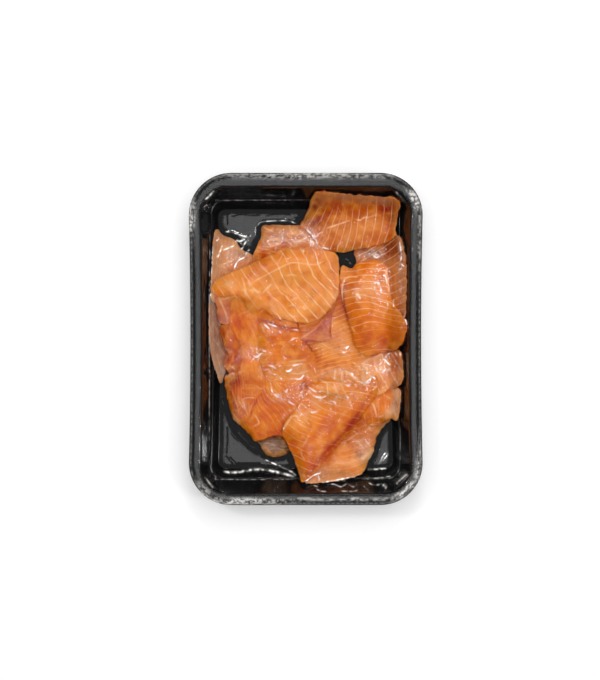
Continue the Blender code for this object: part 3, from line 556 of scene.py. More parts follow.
        ),
    },
    "slice_low_left": {
        "form": ("orange_flesh", "rust_orange", 6.0, 3.6, 0.28, 0.3),
        "outline": (
            (-49, -24.5), (-47, -37.5), (-45.5, -43.5), (-43.5, -49), (-36.5, -55.5), (-33.5, -59),
            (-31, -61.5), (-27.5, -61.5), (-22.5, -59.5), (-16.5, -58.5), (-2, -60.5), (2.5, -48.5),
            (0, -39), (-4.5, -31), (-22.5, -24), (-41.5, -19.5), (-46.5, -21),
        ),
        "septa": (
            (0, ((-32, -46.5), (-28.5, -48.5), (-27.5, -52.5))),
            (2, ((-31, -42), (-25, -44), (-22.5, -51))),
            (4, ((-28.5, -37.5), (-21.5, -41), (-17, -48.5))),
            (6, ((-26, -34), (-17, -37.5), (-11, -46))), (8, ((-23.5, -29.5), (-13.5, -34), (-5, -41))),
            (-3, ((-34, -34), (-37.5, -39), (-37, -46))),
            (-6, ((-40.5, -28), (-43.5, -35.5), (-41.5, -43.5))),
        ),
        "patches": (
            ("brown", 0.85, -47.5, -34, 2.5, 11.5, 8), ("deep", 0.6, -43, -37.5, 3.5, 8, 8),
            ("rust", 0.7, -40.5, -25, 5.5, 3.5, 0), ("blush", 0.6, -35.5, -42, 3, 3.5, 0),
            ("rust", 0.6, -39.5, -45.5, 3, 2.5, 30), ("peach", 0.35, -30.5, -30, 4.5, 3.5, 0),
            ("amber", 0.6, -17, -32.5, 4.5, 4.5, 0), ("fat", 0.75, -42, -48.5, 2.5, 1.5, -50),
            ("brown", 0.6, -33.5, -58, 4, 2, -40), ("deep", 0.6, -22.5, -57, 9.5, 2.5, 0),
            ("orange", 0.4, -26, -43.5, 5.5, 6, 0), ("rust", 0.5, -12, -51, 4, 3.5, 0),
            ("rust", 0.4, -32, -37.5, 2.5, 3, 30), ("brown", 0.4, -37, -51, 3, 2.5, -40),
        ),
        "strokes": (
            ("rust", 0.7, 0.75, ((-25.5, -32.3), (-29.1, -36.5), (-34.5, -48.4))),
            ("peach", 0.4, 0.65, ((-44, -31.7), (-40.5, -43))),
            ("cream", 0.4, 0.6, ((-38.1, -36.5), (-36.3, -42.4))),
            ("cream", 0.3, 0.55, ((-38.7, -36.2), (-34.5, -35.3), (-30.3, -35.6))),
            ("peach", 0.4, 0.6, ((-39.3, -38.8), (-35.7, -43.6), (-33.9, -47.2))),
            ("cream", 0.4, 0.6, ((-30.9, -45.4), (-29.1, -47.8), (-28.2, -50.8), (-31.5, -52.6))),
            ("peach", 0.3, 0.5, ((-39.3, -29.9), (-30.3, -29.3))),
            ("rust", 0.4, 0.5, ((-32.7, -38.8), (-35.7, -41.8), (-38.1, -45.4))),
            ("fat", 0.5, 0.6, ((-44, -44.8), (-39.9, -50.8))),
            ("peach", 0.3, 0.5, ((-33.9, -46.6), (-33.3, -41.8), (-30.9, -38.3))),
            ("cream", 0.3, 0.4, ((-29.7, -28.1), (-27.3, -29.9), (-24.9, -29.3))),
        ),
    },
    "slice_centre": {
        "form": ("orange_flesh", "amber", 6.0, 3.6, 1.0, 0.25),
        "outline": (
            (-55.5, 28.5), (-55, 32.5), (-51, 37), (-31.5, 46), (-26, 48), (-16, 53.5), (-9.5, 54.5),
            (-1, 55), (7.5, 54.5), (14.5, 53), (18.5, 51), (20, 45.5), (20, 31), (18.5, 23.5),
            (11.5, 13.5), (6, 11), (-1.5, 9.5), (-16.5, 12), (-21, 14), (-25.5, 18), (-29, 17),
            (-33, 16.5), (-36, 20), (-40, 24), (-46, 25.5), (-51.5, 25),
        ),
        "septa": (
            (-1, ((-21, 25.5), (-14.5, 21), (-7.5, 12.5))), (0, ((-16, 29), (-9.5, 23.5), (0, 11.5))),
            (1, ((-13, 34), (7.5, 12.5))), (2, ((-1.5, 29.5), (12.5, 15))), (3, ((-2, 38), (15, 19.5))),
            (4, ((0, 42.5), (6, 37), (17.5, 23))), (5, ((7.5, 43.5), (19, 30.5))),
            (6, ((12.5, 45.5), (20.5, 37))), (-2, ((-38, 41), (-26, 23))),
            (-1, ((-33, 42.5), (-22.5, 29))), (0, ((-28.5, 45.5), (-21, 37.5))),
            (2, ((-14.5, 53), (-9.5, 46.5))), (3, ((-9.5, 54), (-4.5, 47))), (4, ((-3, 53), (1, 48))),
            (5, ((4.5, 53.5), (8, 48))),
        ),
        "patches": (
            # Painted reflection: the peach and cream spots on this line are a soft window's light on the
            # slice's tip.
            ("peach", 0.6, -44, 32.5, 4.5, 3.5, 0), ("cream", 0.35, -46, 33, 3, 2.5, 0),
            ("rust", 0.45, -28.5, 17, 4, 2, 0), ("deep", 0.5, -49.5, 26.5, 4.5, 2, 0),
            ("rust", 0.45, -39, 24.5, 5.5, 1.5, -20), ("blush", 0.55, 17, 41, 2, 9.5, 10),
            ("rose", 0.5, 18, 25.5, 2, 4.5, 0), ("peach", 0.6, -10.5, 30.5, 4.5, 5.5, 0),
            ("peach", 0.5, -18, 18.5, 4, 2.5, -40), ("orange", 0.6, -28.5, 38.5, 8, 3, 20),
            ("deep", 0.4, -26, 45.5, 3.5, 2, 0), ("blush", 0.5, 2.5, 53.5, 8, 2, 0),
            ("deep", 0.4, -20, 15, 4.5, 1.5, -20), ("peach", 0.35, -0.5, 28, 7, 8, 0),
            ("blush", 0.4, 7.5, 13.5, 4.5, 2, 20), ("orange", 0.45, -6, 49.5, 8, 3, 0),
        ),
        "strokes": (
            ("cream", 0.4, 0.9, ((-31.3, 34.4), (-12.3, 44.2), (-7.6, 45.7), (-2.8, 45.4))),
            ("cream", 0.4, 0.8, ((-2.8, 45.4), (4.9, 44.5), (10.3, 46.3))),
            ("cream", 0.5, 0.9, ((-38.4, 36.8), (-36.9, 33.2), (-35.8, 26.1))),
            ("cream", 0.5, 0.85, ((-26, 27.3), (-20.6, 33.2))),
            ("ochre", 0.4, 0.7, ((-23, 27.3), (-20, 28.8), (-15.9, 29.1), (-12.9, 27.3))),
            ("cream", 0.4, 0.6, ((-33.1, 28.2), (-30.1, 29.1), (-27.1, 27.9))),
            ("cream", 0.4, 0.6, ((-26, 17.2), (-24.2, 14.8), (-22.4, 13.6))),
            ("cream", 0.4, 0.6, ((-8.7, 22.6), (-7, 24.3), (-4.6, 24.6))),
            ("cream", 0.3, 0.6, ((-10.5, 19.6), (-7, 20.8))),
            ("cream", 0.4, 0.7, ((-11.1, 38), (-8.7, 38.6), (-5.8, 38))),
            ("cream", 0.4, 0.6, ((-34.3, 35), (-33.4, 31.5))),
            # Painted shade along this slice's lower edge, on this stroke and the next.
            ("rust", 0.4, 0.7, ((-25.4, 18.4), (-21.8, 15.4), (-12.9, 11.3))),
            ("rust", 0.4, 0.5, ((8.5, 11.9), (13.2, 16.6), (17.4, 22))),
            ("cream", 0.3, 0.5, ((-20.6, 37.4), (-26, 43.9))),
            ("cream", 0.3, 0.5, ((-16.5, 45.7), (-13.5, 51.1))),
            ("peach", 0.4, 0.5, ((-49.7, 34.4), (-47.3, 33.2))),
        ),
    },
    "slice_low": {
        "form": ("orange_flesh", "orange", 6.0, 3.6, 0.7, 0.22),
        "outline": (
            (-3, -36.5), (-0.5, -31), (3, -27.5), (8.5, -25.5), (15.5, -24.5), (23, -25.5), (28, -27.5),
            (32.5, -28.5), (36, -27), (40.5, -22.5), (42.5, -23), (43.5, -27.5), (42.5, -32.5),
            (39, -38.5), (25, -57.5), (3.5, -82), (-1, -85), (-3, -84), (-7, -72.5), (-12.5, -60.5),
            (-14, -56), (-12.5, -50.5), (-9.5, -46), (-6, -43),
        ),
        "septa": (
            (0, ((-11.5, -56), (-6.5, -60), (-0.5, -62))), (1, ((-9, -52.5), (-3.5, -56), (3, -58.5))),
            (2, ((-6.5, -47.5), (-3, -52), (3.5, -54.5))), (3, ((-2, -44.5), (2, -49), (9, -51))),
            (4, ((1.5, -41), (5.5, -45), (13.5, -47))), (-1, ((-10, -62.5), (-5, -66), (1, -68))),
            (-2, ((-7.5, -69), (-3.5, -72), (1.5, -73))), (6, ((6, -34.5), (13.5, -38.5), (21.5, -40))),
            (8, ((14.5, -27.5), (23.5, -31.5), (33.5, -31.5))),
        ),
        "patches": (
            ("amber", 0.5, 13.5, -38.5, 9.5, 4, 0), ("peach", 0.35, 5.5, -38, 4, 4.5, 0),
            # Painted shade: the deep spots on this line and the next run along the valley at this slice's
            # right edge.
            ("deep", 0.8, 34.5, -39.5, 2.5, 6, -38), ("deep", 0.9, 26.5, -53.5, 2.5, 9, -42),
            ("deep", 0.85, 13.5, -68.5, 3, 8, -42), ("deep", 0.7, 3, -78, 2.5, 5.5, -20),
            ("deep", 0.5, 17.5, -52, 6, 8, -42), ("deep", 0.4, -3.5, -65, 5.5, 4, 0),
            ("ochre", 0.6, -2, -78, 2, 5.5, 10), ("rust", 0.4, -8, -60, 3, 4.5, 20),
            ("blush", 0.4, -1, -63.5, 3, 3, 0), ("amber", 0.4, 23.5, -36.5, 7, 4, 0),
            ("rust", 0.4, 39.5, -27, 2, 3.5, 0), ("orange", 0.4, 7.5, -60, 6, 3.5, 0),
            ("rust", 0.4, 32.5, -32.5, 2.5, 4.5, -30),
        ),
        "strokes": (
            ("cream", 0.5, 0.9, ((-8.2, -46.1), (-13.8, -54.7))),
            ("cream", 0.4, 0.8, ((-8.2, -46.4), (-5.8, -46.1), (-4, -47.6))),
            ("cream", 0.4, 0.7, ((12.7, -26.2), (13.3, -33.9))),
            ("cream", 0.3, 0.6, ((16.8, -26.2), (18, -30.4), (20.4, -35.1))),
            ("cream", 0.3, 0.6, ((21, -26.8), (24.6, -34.5))),
            ("cream", 0.4, 0.8, ((8.5, -25.6), (21.6, -26.8), (26.4, -28.3))),
            # Painted shade along the valley at this slice's right edge, on this stroke and the next two.
            ("rust", 1, 0.8, ((42.4, -24.4), (40, -30.9), (31.7, -44))),
            ("rust", 1.2, 0.85, ((31.7, -44), (26.4, -51.8), (13.9, -66.1))),
            ("rust", 0.9, 0.7, ((13.9, -66.1), (8.5, -72), (4.3, -78.6))),
            ("cream", 0.4, 0.6, ((-2.8, -67.2), (-2.2, -70.2), (-0.4, -72.6))),
            ("cream", 0.3, 0.6, ((2, -57.7), (-1.6, -64.3))),
            ("cream", 0.3, 0.5, ((25.8, -36.9), (27.5, -40.5), (25.8, -42.8))),
            ("cream", 0.3, 0.6, ((2.6, -45.8), (10.3, -48.5))),
            ("cream", 0.3, 0.6, ((-1.6, -47), (0.8, -49.4), (2, -51.8))),
            ("cream", 0.4, 0.6, ((41.8, -24.4), (42.4, -28), (39.4, -30.9))),
            ("cream", 0.3, 0.5, ((22.8, -35.1), (25.2, -33.3), (28.1, -32.7))),
            ("ochre", 0.3, 0.5, ((29.9, -27.4), (31.1, -31.5))),
        ),
    },
}

# Film creases: how high each stands where it has a glint, how wide it is, the strength of its painted white
# glint, and its points. A crease with no glint is a dark fold: it stands no higher and only takes the film's
# mirror away along it.
CREASES = (
    # The first eight are painted reflections of the tray's corner shelves and of its ledge, seen through the
    # film.
    (0.1, 0.7, 0.28, ((-59.7, 81.4), (-53.8, 87.3))), (0.1, 0.6, 0.17, ((52.9, 87), (57.9, 81.1))),
    (0.1, 0.7, 0.25, ((-59.7, -81.1), (-54.4, -87.9))), (0.1, 0.9, 0.28, ((53.5, -86.1), (60.3, -79.6))),
    (0.1, 0.35, 0.08, ((-56.8, 73.8), (-55.9, 78), (-53.2, 81.6), (-49, 83), (0.2, 83.3))),
    (0.1, 0.35, 0.11, ((-57.1, 69), (-57.5, -69.6))),
    (0.1, 0.35, 0.1, ((-57.4, -71.4), (-56.5, -78), (-53.8, -82.2), (-49, -84), (-5.2, -84))),
    (0.1, 0.35, 0.08, ((32.6, -83.9), (47.6, -83.6), (53, -82.2), (55.7, -78.6), (56.5, -72.6),
        (56.6, -51.6))),
    (0.9, 0.55, 0.55, ((-48.7, 65), (-44.5, 64.7), (-36, 61.9), (-33, 63.4))),
    (0.8, 0.6, 0.6, ((-33, 63.4), (-38.1, 56.2))),
    (0.9, 0.8, 0.6, ((-42.1, 59.8), (-39.7, 59.2), (-36.6, 61))),
    (0.6, 0.5, 0.5, ((-39.5, 58.4), (-37.7, 56), (-39.2, 54.2))),
    (0.8, 0.6, 0.6, ((-33.5, 54.7), (-35.6, 52.3), (-37.1, 49.3), (-40.7, 47.2), (-43.4, 42.1))),
    (0.4, 0.45, 0.3, ((-30.6, 67.1), (-28.8, 69.2), (-26.1, 71), (-11.9, 71.7), (-5.2, 69.5))),
    (1.2, 0.5, 0, ((-48.3, 77.6), (-32.5, 76.7), (-24, 77.9), (-1.6, 78.8))),
    (1.2, 0.4, 0, ((-24.6, 74.3), (-19.2, 75.5), (-8.2, 75.5))),
    (1.2, 0.4, 0, ((-49.5, 76.4), (-47.6, 74.9), (-47.3, 68.5))),
    (1.2, 0.4, 0, ((-45.8, 74.9), (-43.4, 74.3), (-39.8, 75.5), (-32.5, 74.9), (-26.4, 75.2))),
    (1.2, 0.4, 0, ((-46.4, 76.4), (-47.6, 74.6))),
    (1.2, 0.4, 0, ((-44.6, 80), (-42.8, 77.6), (-41.6, 74.6))),
    (1.2, 0.4, 0, ((-51.3, 76.4), (-51.6, 70.9), (-50.7, 64.9))),
    (1.2, 0.45, 0, ((-7.6, 73.6), (-4, 74.2), (-1, 76.9))),
    (1.1, 0.8, 0.6, ((-50.7, -78.8), (-48.2, -80), (-42.2, -80.4), (-26.4, -78.9), (-5.8, -82.7))),
    (0.8, 0.6, 0.6, ((-25.2, -73), (-9.5, -79.6), (-5.5, -82.3))),
    (1.2, 0.4, 0, ((-50.7, -77.3), (-48.9, -75.5), (-47.3, -77.6))),
    (1.2, 0.45, 0, ((-48.9, -70), (-43.4, -76.4))), (1.2, 0.45, 0, ((-46.4, -70.9), (-40.7, -76.7))),
    (1.2, 0.4, 0, ((-45.2, -57), (-43.4, -59.7), (-40.7, -62.1))),
    (1.2, 0.5, 0, ((-38.2, -61.2), (-33.1, -66))), (1.2, 0.5, 0, ((-42.2, -75.2), (-26.4, -75.2))),
    (1.2, 0.4, 0, ((-53.1, -39.4), (-50.1, -47.3))), (1.2, 0.5, 0, ((-53.1, -29.7), (-51.3, -39.4))),
    (1.2, 0.5, 0, ((-47.6, -52.1), (-47.3, -61.2), (-48, -70.3))),
    (1, 1.4, 0, ((-50.5, -38.1), (-43.9, -55), (-37.8, -62.2), (-32.4, -67.1), (-26.4, -71.3))),
    (0.9, 0.6, 0.6, ((37.2, -79), (49, -78.3))),
    (0.4, 0.4, 0.2, ((44.2, -76.1), (48.7, -68.8), (49.6, -70.3), (45.1, -76.1))),
    (0.4, 0.45, 0.25, ((37.1, -82.9), (41.4, -83.5), (51.6, -82.3))),
    (1.2, 0.4, 0, ((48.7, -75.2), (50.5, -77), (51.8, -75.2))),
    (1.2, 0.45, 0, ((51.2, -52.1), (51.8, -72.1))), (1.2, 0.45, 0, ((22.6, 52), (26.8, 47.7))),
    (1.2, 0.45, 0, ((28.6, 53.2), (27.4, 50.8), (25.6, 48.9))),
    (0.35, 0.5, 0.2, ((26.2, 46.5), (28, 45.3))),
    (0.4, 0.5, 0.19, ((0.2, -88.6), (3.8, -86.9), (7.4, -87.7))),
    (0.4, 0.45, 0.19, ((12.2, -86.9), (16.4, -86.3), (21.2, -87.7), (24.8, -85.7))),
    (0.35, 0.4, 0.17, ((20.5, -89.7), (27.7, -89.9), (31.3, -89.1))),
    (0.4, 0.45, 0.22, ((23.6, -85.1), (25.9, -86.9), (28.9, -87.7), (30.7, -85.7))),
    (0.35, 0.4, 0.17, ((34.3, -87.3), (37.8, -90.2))),
    (0.4, 0.5, 0.19, ((37.3, -85.7), (40.9, -86.9), (45.7, -86.3))),
    (0.6, 1.4, 0.22, ((45.6, -86.7), (48, -88.5))),
    (0.4, 0.4, 0.17, ((6.2, -88.6), (8.6, -89.7), (12.2, -90))),
    (0.5, 0.5, 0.6, ((-49.9, 56.4), (-52.9, 48.6))), (0.4, 0.5, 0.5, ((-49.6, 53.4), (-43, 56.4))),
    (0.5, 0.5, 0.5, ((-55.3, 60.6), (-53.8, 61.8), (-52.3, 60.3), (-53.8, 58.8))),
    (0.5, 0.4, 0.35, ((-55.4, 57.7), (-56.3, 32.5))),
    (0.45, 0.5, 0.5, ((-33.1, -8.3), (-31.3, -10.4), (-29, -10.9), (-27.2, -8.9), (-24.8, -9.2))),
    (0.4, 0.45, 0.45, ((-30.1, -7.7), (-28.4, -8.9))), (0.35, 0.4, 0.4, ((-26, -7.1), (-23.6, -7.4))),
    (0.4, 0.5, 0.5, ((-20.1, -3.6), (-17.7, -4.2))),
    (0.45, 0.5, 0.5, ((-25.4, -19), (-22.4, -18.5), (-20.7, -20.8), (-17.1, -21.7))),
    (0.4, 0.5, 0.45, ((-23.6, -15.8), (-20.1, -16.4), (-17.7, -17.9))),
    (0.5, 0.7, 0.55, ((-12.3, -19.3), (-9.9, -19.3), (-7.6, -17.3))),
    (0.4, 0.5, 0.45, ((-8.8, -16.7), (-2.2, -14.6))),
    (0.35, 0.5, 0.45, ((-7, -23.8), (-3.4, -24.1), (-1, -21.4))),
    (0.4, 0.5, 0.4, ((-15.3, -23.2), (-14.1, -25))), (0.35, 0.4, 0.35, ((-16.5, -13.7), (-15.9, -16.7))),
    (0.45, 0.5, 0.5, ((-20.7, -28), (-20.4, -31), (-18.3, -34), (-12.9, -36.7))),
    (0.35, 0.4, 0.4, ((-17.7, -32.8), (-15.9, -34.3))), (0.4, 0.4, 0.45, ((-10.6, -37.6), (-5.8, -40))),
    (0.4, 0.4, 0.4, ((-11.7, -32.2), (-10.6, -29.2))), (0.4, 0.5, 0.5, ((-26, 10.1), (-21.3, 5.4))),
    (0.35, 0.5, 0.45, ((-23.6, 9.5), (-16.5, 7.1))), (0.4, 0.5, 0.5, ((-15.9, 4.8), (-14.7, 3.3))),
    (0.35, 0.4, 0.4, ((-20.1, 6.8), (-18.9, 6.3))),
    (0.3, 0.4, 0.35, ((-8.8, 5.9), (-5.8, 5.6), (-4, 4.8))),
    (0.35, 0.4, 0.4, ((-10, -1.8), (-7, 0.3), (-4, 0.6))), (0.4, 0.4, 0.45, ((-15.9, 13), (-14.7, 11.3))),
    (0.5, 0.6, 0.55, ((21.6, -7.1), (23.4, -8), (24.6, -5.4), (26.4, -4.2))),
    (0.35, 0.5, 0.4, ((23.4, -4.8), (24.6, -6.6))), (0.5, 0.5, 0.55, ((24.5, -18.7), (31.1, -23.8))),
    (0.45, 0.5, 0.5, ((26.9, -20.2), (29.9, -22))), (0.5, 0.5, 0.5, ((22.8, -25), (28.1, -28.2))),
    (0.45, 0.5, 0.45, ((22.2, -26.8), (27.5, -28.8))),
    (0.5, 0.6, 0.6, ((32.9, -25.3), (35.2, -26.8), (40, -22.9), (41.8, -24.4))),
    (0.45, 0.5, 0.5, ((34, -27.9), (38.8, -25.6))), (0.4, 0.5, 0.5, ((29.9, -26.8), (30.5, -29.1))),
    (0.4, 0.5, 0.5, ((35.8, -19.6), (37.6, -20.8))),
    (0.5, 0.5, 0.6, ((41.9, -16.7), (43.1, -19.4), (46.1, -20), (47.9, -18.2), (50.9, -18.5))),
    (0.5, 0.5, 0.55, ((46.7, -11.9), (50.9, -16.1))),
    (0.4, 0.5, 0.5, ((47.9, -11.3), (49.1, -9.5), (50.9, -8.4))),
    (0.45, 0.5, 0.5, ((44.3, -16.1), (46.7, -11.9))),
    (0.5, 0.5, 0.55, ((41, 32.6), (42.8, 34.9), (44, 33.2), (42.8, 30.8))),
    (0.5, 0.5, 0.55, ((42.2, 34.4), (44.6, 32), (45.2, 29), (44.6, 27.2))),
    (0.5, 0.5, 0.55, ((41, 28.1), (43.4, 27.2), (45.8, 27.5))),
    (0.4, 0.5, 0.5, ((46.4, 39.1), (48.1, 36.7), (48.7, 33.2))),
    (0.4, 0.4, 0.45, ((45.8, 34.4), (48.7, 34.9))), (0.45, 0.6, 0.5, ((29.8, 27.2), (32.7, 24.3))),
    (0.35, 0.4, 0.4, ((32.1, 31.4), (34.5, 30.8))),
    (0.45, 0.45, 0.5, ((48.8, 22), (49.1, 19), (47.7, 17.2), (46.5, 17.2))),
    (0.45, 0.45, 0.5, ((52.4, 23.1), (52.4, 19))), (0.4, 0.5, 0.45, ((53.1, 16.6), (56, 17.2))),
    (0.5, 0.5, 0.55, ((49.9, 41.1), (50.7, 39.3))),
    (0.5, 0.5, 0.6, ((55.9, 58.4), (56.8, 49.5), (56.2, 45.9))),
    (0.45, 0.5, 0.6, ((56.2, 45.6), (58.6, 42.3))), (0.45, 0.5, 0.55, ((54.5, 41.2), (56.9, 41.8))),
    (0.5, 0.5, 0.6, ((58.6, 11.9), (59.7, 8.3))), (0.4, 0.5, 0.5, ((60.4, 7.7), (60.4, 6))),
    (0.4, 0.5, 0.5, ((53.3, -7.8), (54.5, -10.2))), (0.4, 0.45, 0.5, ((56, -7.8), (56.3, -10.2))),
    (0.35, 0.5, 0.45, ((40.8, 50.5), (42.6, 49), (44.4, 50.2))),
    (0.35, 0.5, 0.4, ((48, 54.4), (48.6, 53.8))), (0.5, 0.5, 0.5, ((-1.6, 67.8), (3.7, 63))),
    (0.5, 0.5, 0.55, ((3.7, 63.1), (4.9, 60.7), (6.7, 58.9), (7.3, 55.9))),
    (0.4, 0.4, 0.5, ((2, 57.1), (3.7, 58.9), (4.9, 57.1), (3.7, 55.9))),
    (0.4, 0.4, 0.45, ((8.5, 55.6), (14.4, 53.8))), (0.35, 0.5, 0.45, ((-14.2, 62.2), (-13.6, 59.8))),
    (0.35, 0.5, 0.4, ((-6.4, 60.4), (-4, 58.9))), (0.35, 0.4, 0.4, ((-23.1, 58), (-21.3, 56.2))),
    (0.35, 0.5, 0.4, ((-1.6, 53.8), (-1, 52))),
    (0.45, 0.5, 0.5, ((3.1, -32.1), (4.9, -33.9), (7.3, -35.1), (9.7, -34.5))),
    (0.4, 0.45, 0.5, ((8.5, -36.3), (10.9, -34.8), (13.3, -34.2))),
    (0.4, 0.4, 0.45, ((12.7, -30.9), (13.9, -33.6))), (0.45, 0.5, 0.5, ((10.3, -38.6), (12.6, -38.3))),
    (0.4, 0.4, 0.45, ((15, -37.7), (17.4, -38), (18, -39.8))),
    (0.4, 0.4, 0.4, ((14.4, -41.6), (15.6, -42.8))),
    (0.45, 0.5, 0.5, ((21, -35.7), (24, -34.2), (25.8, -35.7))),
    (0.35, 0.4, 0.4, ((26.4, -33.3), (28.1, -32.7))), (0.4, 0.5, 0.5, ((-2.8, -43.5), (-4, -42))),
    (0.4, 0.4, 0.5, ((-0.4, -36.9), (1.4, -36))),
    (0.4, 0.4, 0.45, ((-4.6, -35.2), (-2.8, -33.4), (-1.6, -35.8))),
    (0.35, 0.4, 0.4, ((-2.8, -31), (-2.2, -32.8))),
    (0.35, 0.4, 0.4, ((1.4, -28.6), (6.1, -31.6), (9.7, -31.3))),
    (0.4, 0.4, 0.4, ((8.5, -23.2), (10.3, -22.6))),
    (0.5, 0.5, 0.55, ((-1, -85.2), (5, -81.3), (9.7, -80.1))),
    (0.45, 0.5, 0.5, ((7.4, -81.3), (8, -83.7), (6.8, -84.9))),
    (0.6, 0.5, 0.65, ((9.2, -85.4), (30.7, -82.1))), (0.5, 0.5, 0.5, ((-13.6, -53.2), (-13, -54.7))),
    (0.4, 0.4, 0.35, ((1.4, -42.8), (4.9, -44), (7.9, -43.1))),
)

# Places where the film puckers over the food, each with middle, half sizes, turn and strength: the film
# ripples and mirrors more there, and carries painted glint threads.
PUCKERS = (
    (-12.5, 59, 15, 4.5, 0, 0.55), (3, 61.5, 4, 7.5, 30, 0.95), (-54.5, 52.5, 2.5, 11.5, 0, 0.4),
    (-46.5, 46, 7, 5.5, 20, 0.5), (-35.5, 55.5, 3, 6, 30, 0.5), (43.5, 32.5, 4.5, 10.5, -8, 0.9),
    (57, 41, 2, 18.5, 0, 0.95), (41, 50.5, 6.5, 3, 0, 0.6), (58.5, 10, 2, 5.5, 0, 0.8),
    (32, 29, 4.5, 6, 0, 0.4), (-29, -9, 6.5, 3.5, 0, 0.7), (-20, -19.5, 7, 4.5, 0, 0.6),
    (-12.5, -35, 8, 4, 0, 0.6), (-4, -23, 7, 7, 0, 0.5), (-20, 7.5, 8, 4, 0, 0.5),
    (24.5, -6.5, 4.5, 3.5, 0, 0.5), (27.5, -24, 7.5, 5.5, 0, 0.6), (20.5, -35, 10.5, 4.5, 0, 0.6),
    (5, -33.5, 7, 4.5, 0, 0.6), (36, -24.5, 7, 4, 0, 0.75), (47.5, -16, 8, 6, 0, 0.85),
    (-2, -43, 5.5, 4.5, 0, 0.5), (5, -82, 6.5, 3.5, 0, 0.8), (22, -84, 11.5, 2, 4, 0.7),
    (54.5, -37.5, 2.5, 10, 5, 0.7), (-56, 2.5, 2, 24.5, 0, 0.6), (20.5, -88, 26.5, 3, 0, 0.2),
    (-33, 41, 8, 4, 0, 0.3), (37.5, -69.5, 4, 8, 20, 0.5), (-39, -41, 3.5, 6, 0, 0.35),
)

MELDS = (
    (-37.5, 21.5, 18.5, 6, -20, 1), (-26, -3.5, 6.5, 21, 0, 1), (2, -15.5, 7, 15, 0, 0.9),
    (-12.5, -34, 15, 7, 0, 0.9), (33.5, -18.5, 10.5, 10.5, 0, 0.8), (20.5, -19, 15, 6, 0, 0.8),
    (-32, -22, 17.5, 5.5, 0, 1), (-3.5, -35, 7, 5.5, 0, 0.8), (20.5, -27, 15, 4, 0, 0.8),
    (-36.5, -3.5, 4.5, 17.5, 0, 0.9), (18, -61, 4.5, 23.5, -42, 0.95), (40.5, 49, 10.5, 3.5, 5, 0.8),
    (-10.5, 55, 24.5, 4, 0, 0.8), (-16.5, 12.5, 10.5, 4, -25, 0.5), (-46.5, 10, 6, 7, 0, 0.6),
)

BARE = (
    (9.5, -64, 11.5, 9, -30, 0.8), (46, 0, 16.5, 7, 0, 1), (23.5, 82.5, 33, 4.5, 0, 0.9),
    (6, 66, 7, 11.5, 0, 0.6), (17, -55.5, 7, 16, -42, 0.9), (-26, -57, 17.5, 4, 0, 0.9),
    (-46, -36.5, 4, 15, 0, 0.8), (-44, 32.5, 9, 6, 0, 0.9), (-25, 21.5, 8, 7, 0, 0.9),
    (-26, 33.5, 7.5, 7, 0, 0.7), (32.5, -38.5, 7, 6, 0, 0.5), (-35.5, -51.5, 7, 8, -40, 0.6),
    (-14, 46, 7, 3.5, 0, 0.4), (-3.5, 50, 17.5, 3, 0, 0.3), (37.5, -69.5, 6, 10.5, 20, 0.5),
    (8.5, -81, 11.5, 4.5, 0, 0.4),
)

# Ruffled stretches of the film's loose edge, each with middle, half sizes, turn and strength: they crinkle
# higher and carry painted white glints.
RUFFLES = (
    (2.5, 97, 55.5, 2.5, 0, 1.1), (-68.5, 72.5, 2.5, 11.5, 0, 2), (63.5, 82, 2.5, 6, 25, 2.4),
    (67, 61, 1, 17.5, 0, 1), (-40, -95.5, 24.5, 2, 0, 1.8), (-60.5, -90.5, 6, 3, -50, 1.4),
    (58.5, -89, 6.5, 2.5, 38, 2.4), (66, -77, 1.5, 11.5, -8, 1.4), (20, -94, 35, 1, 0, 1.4),
)

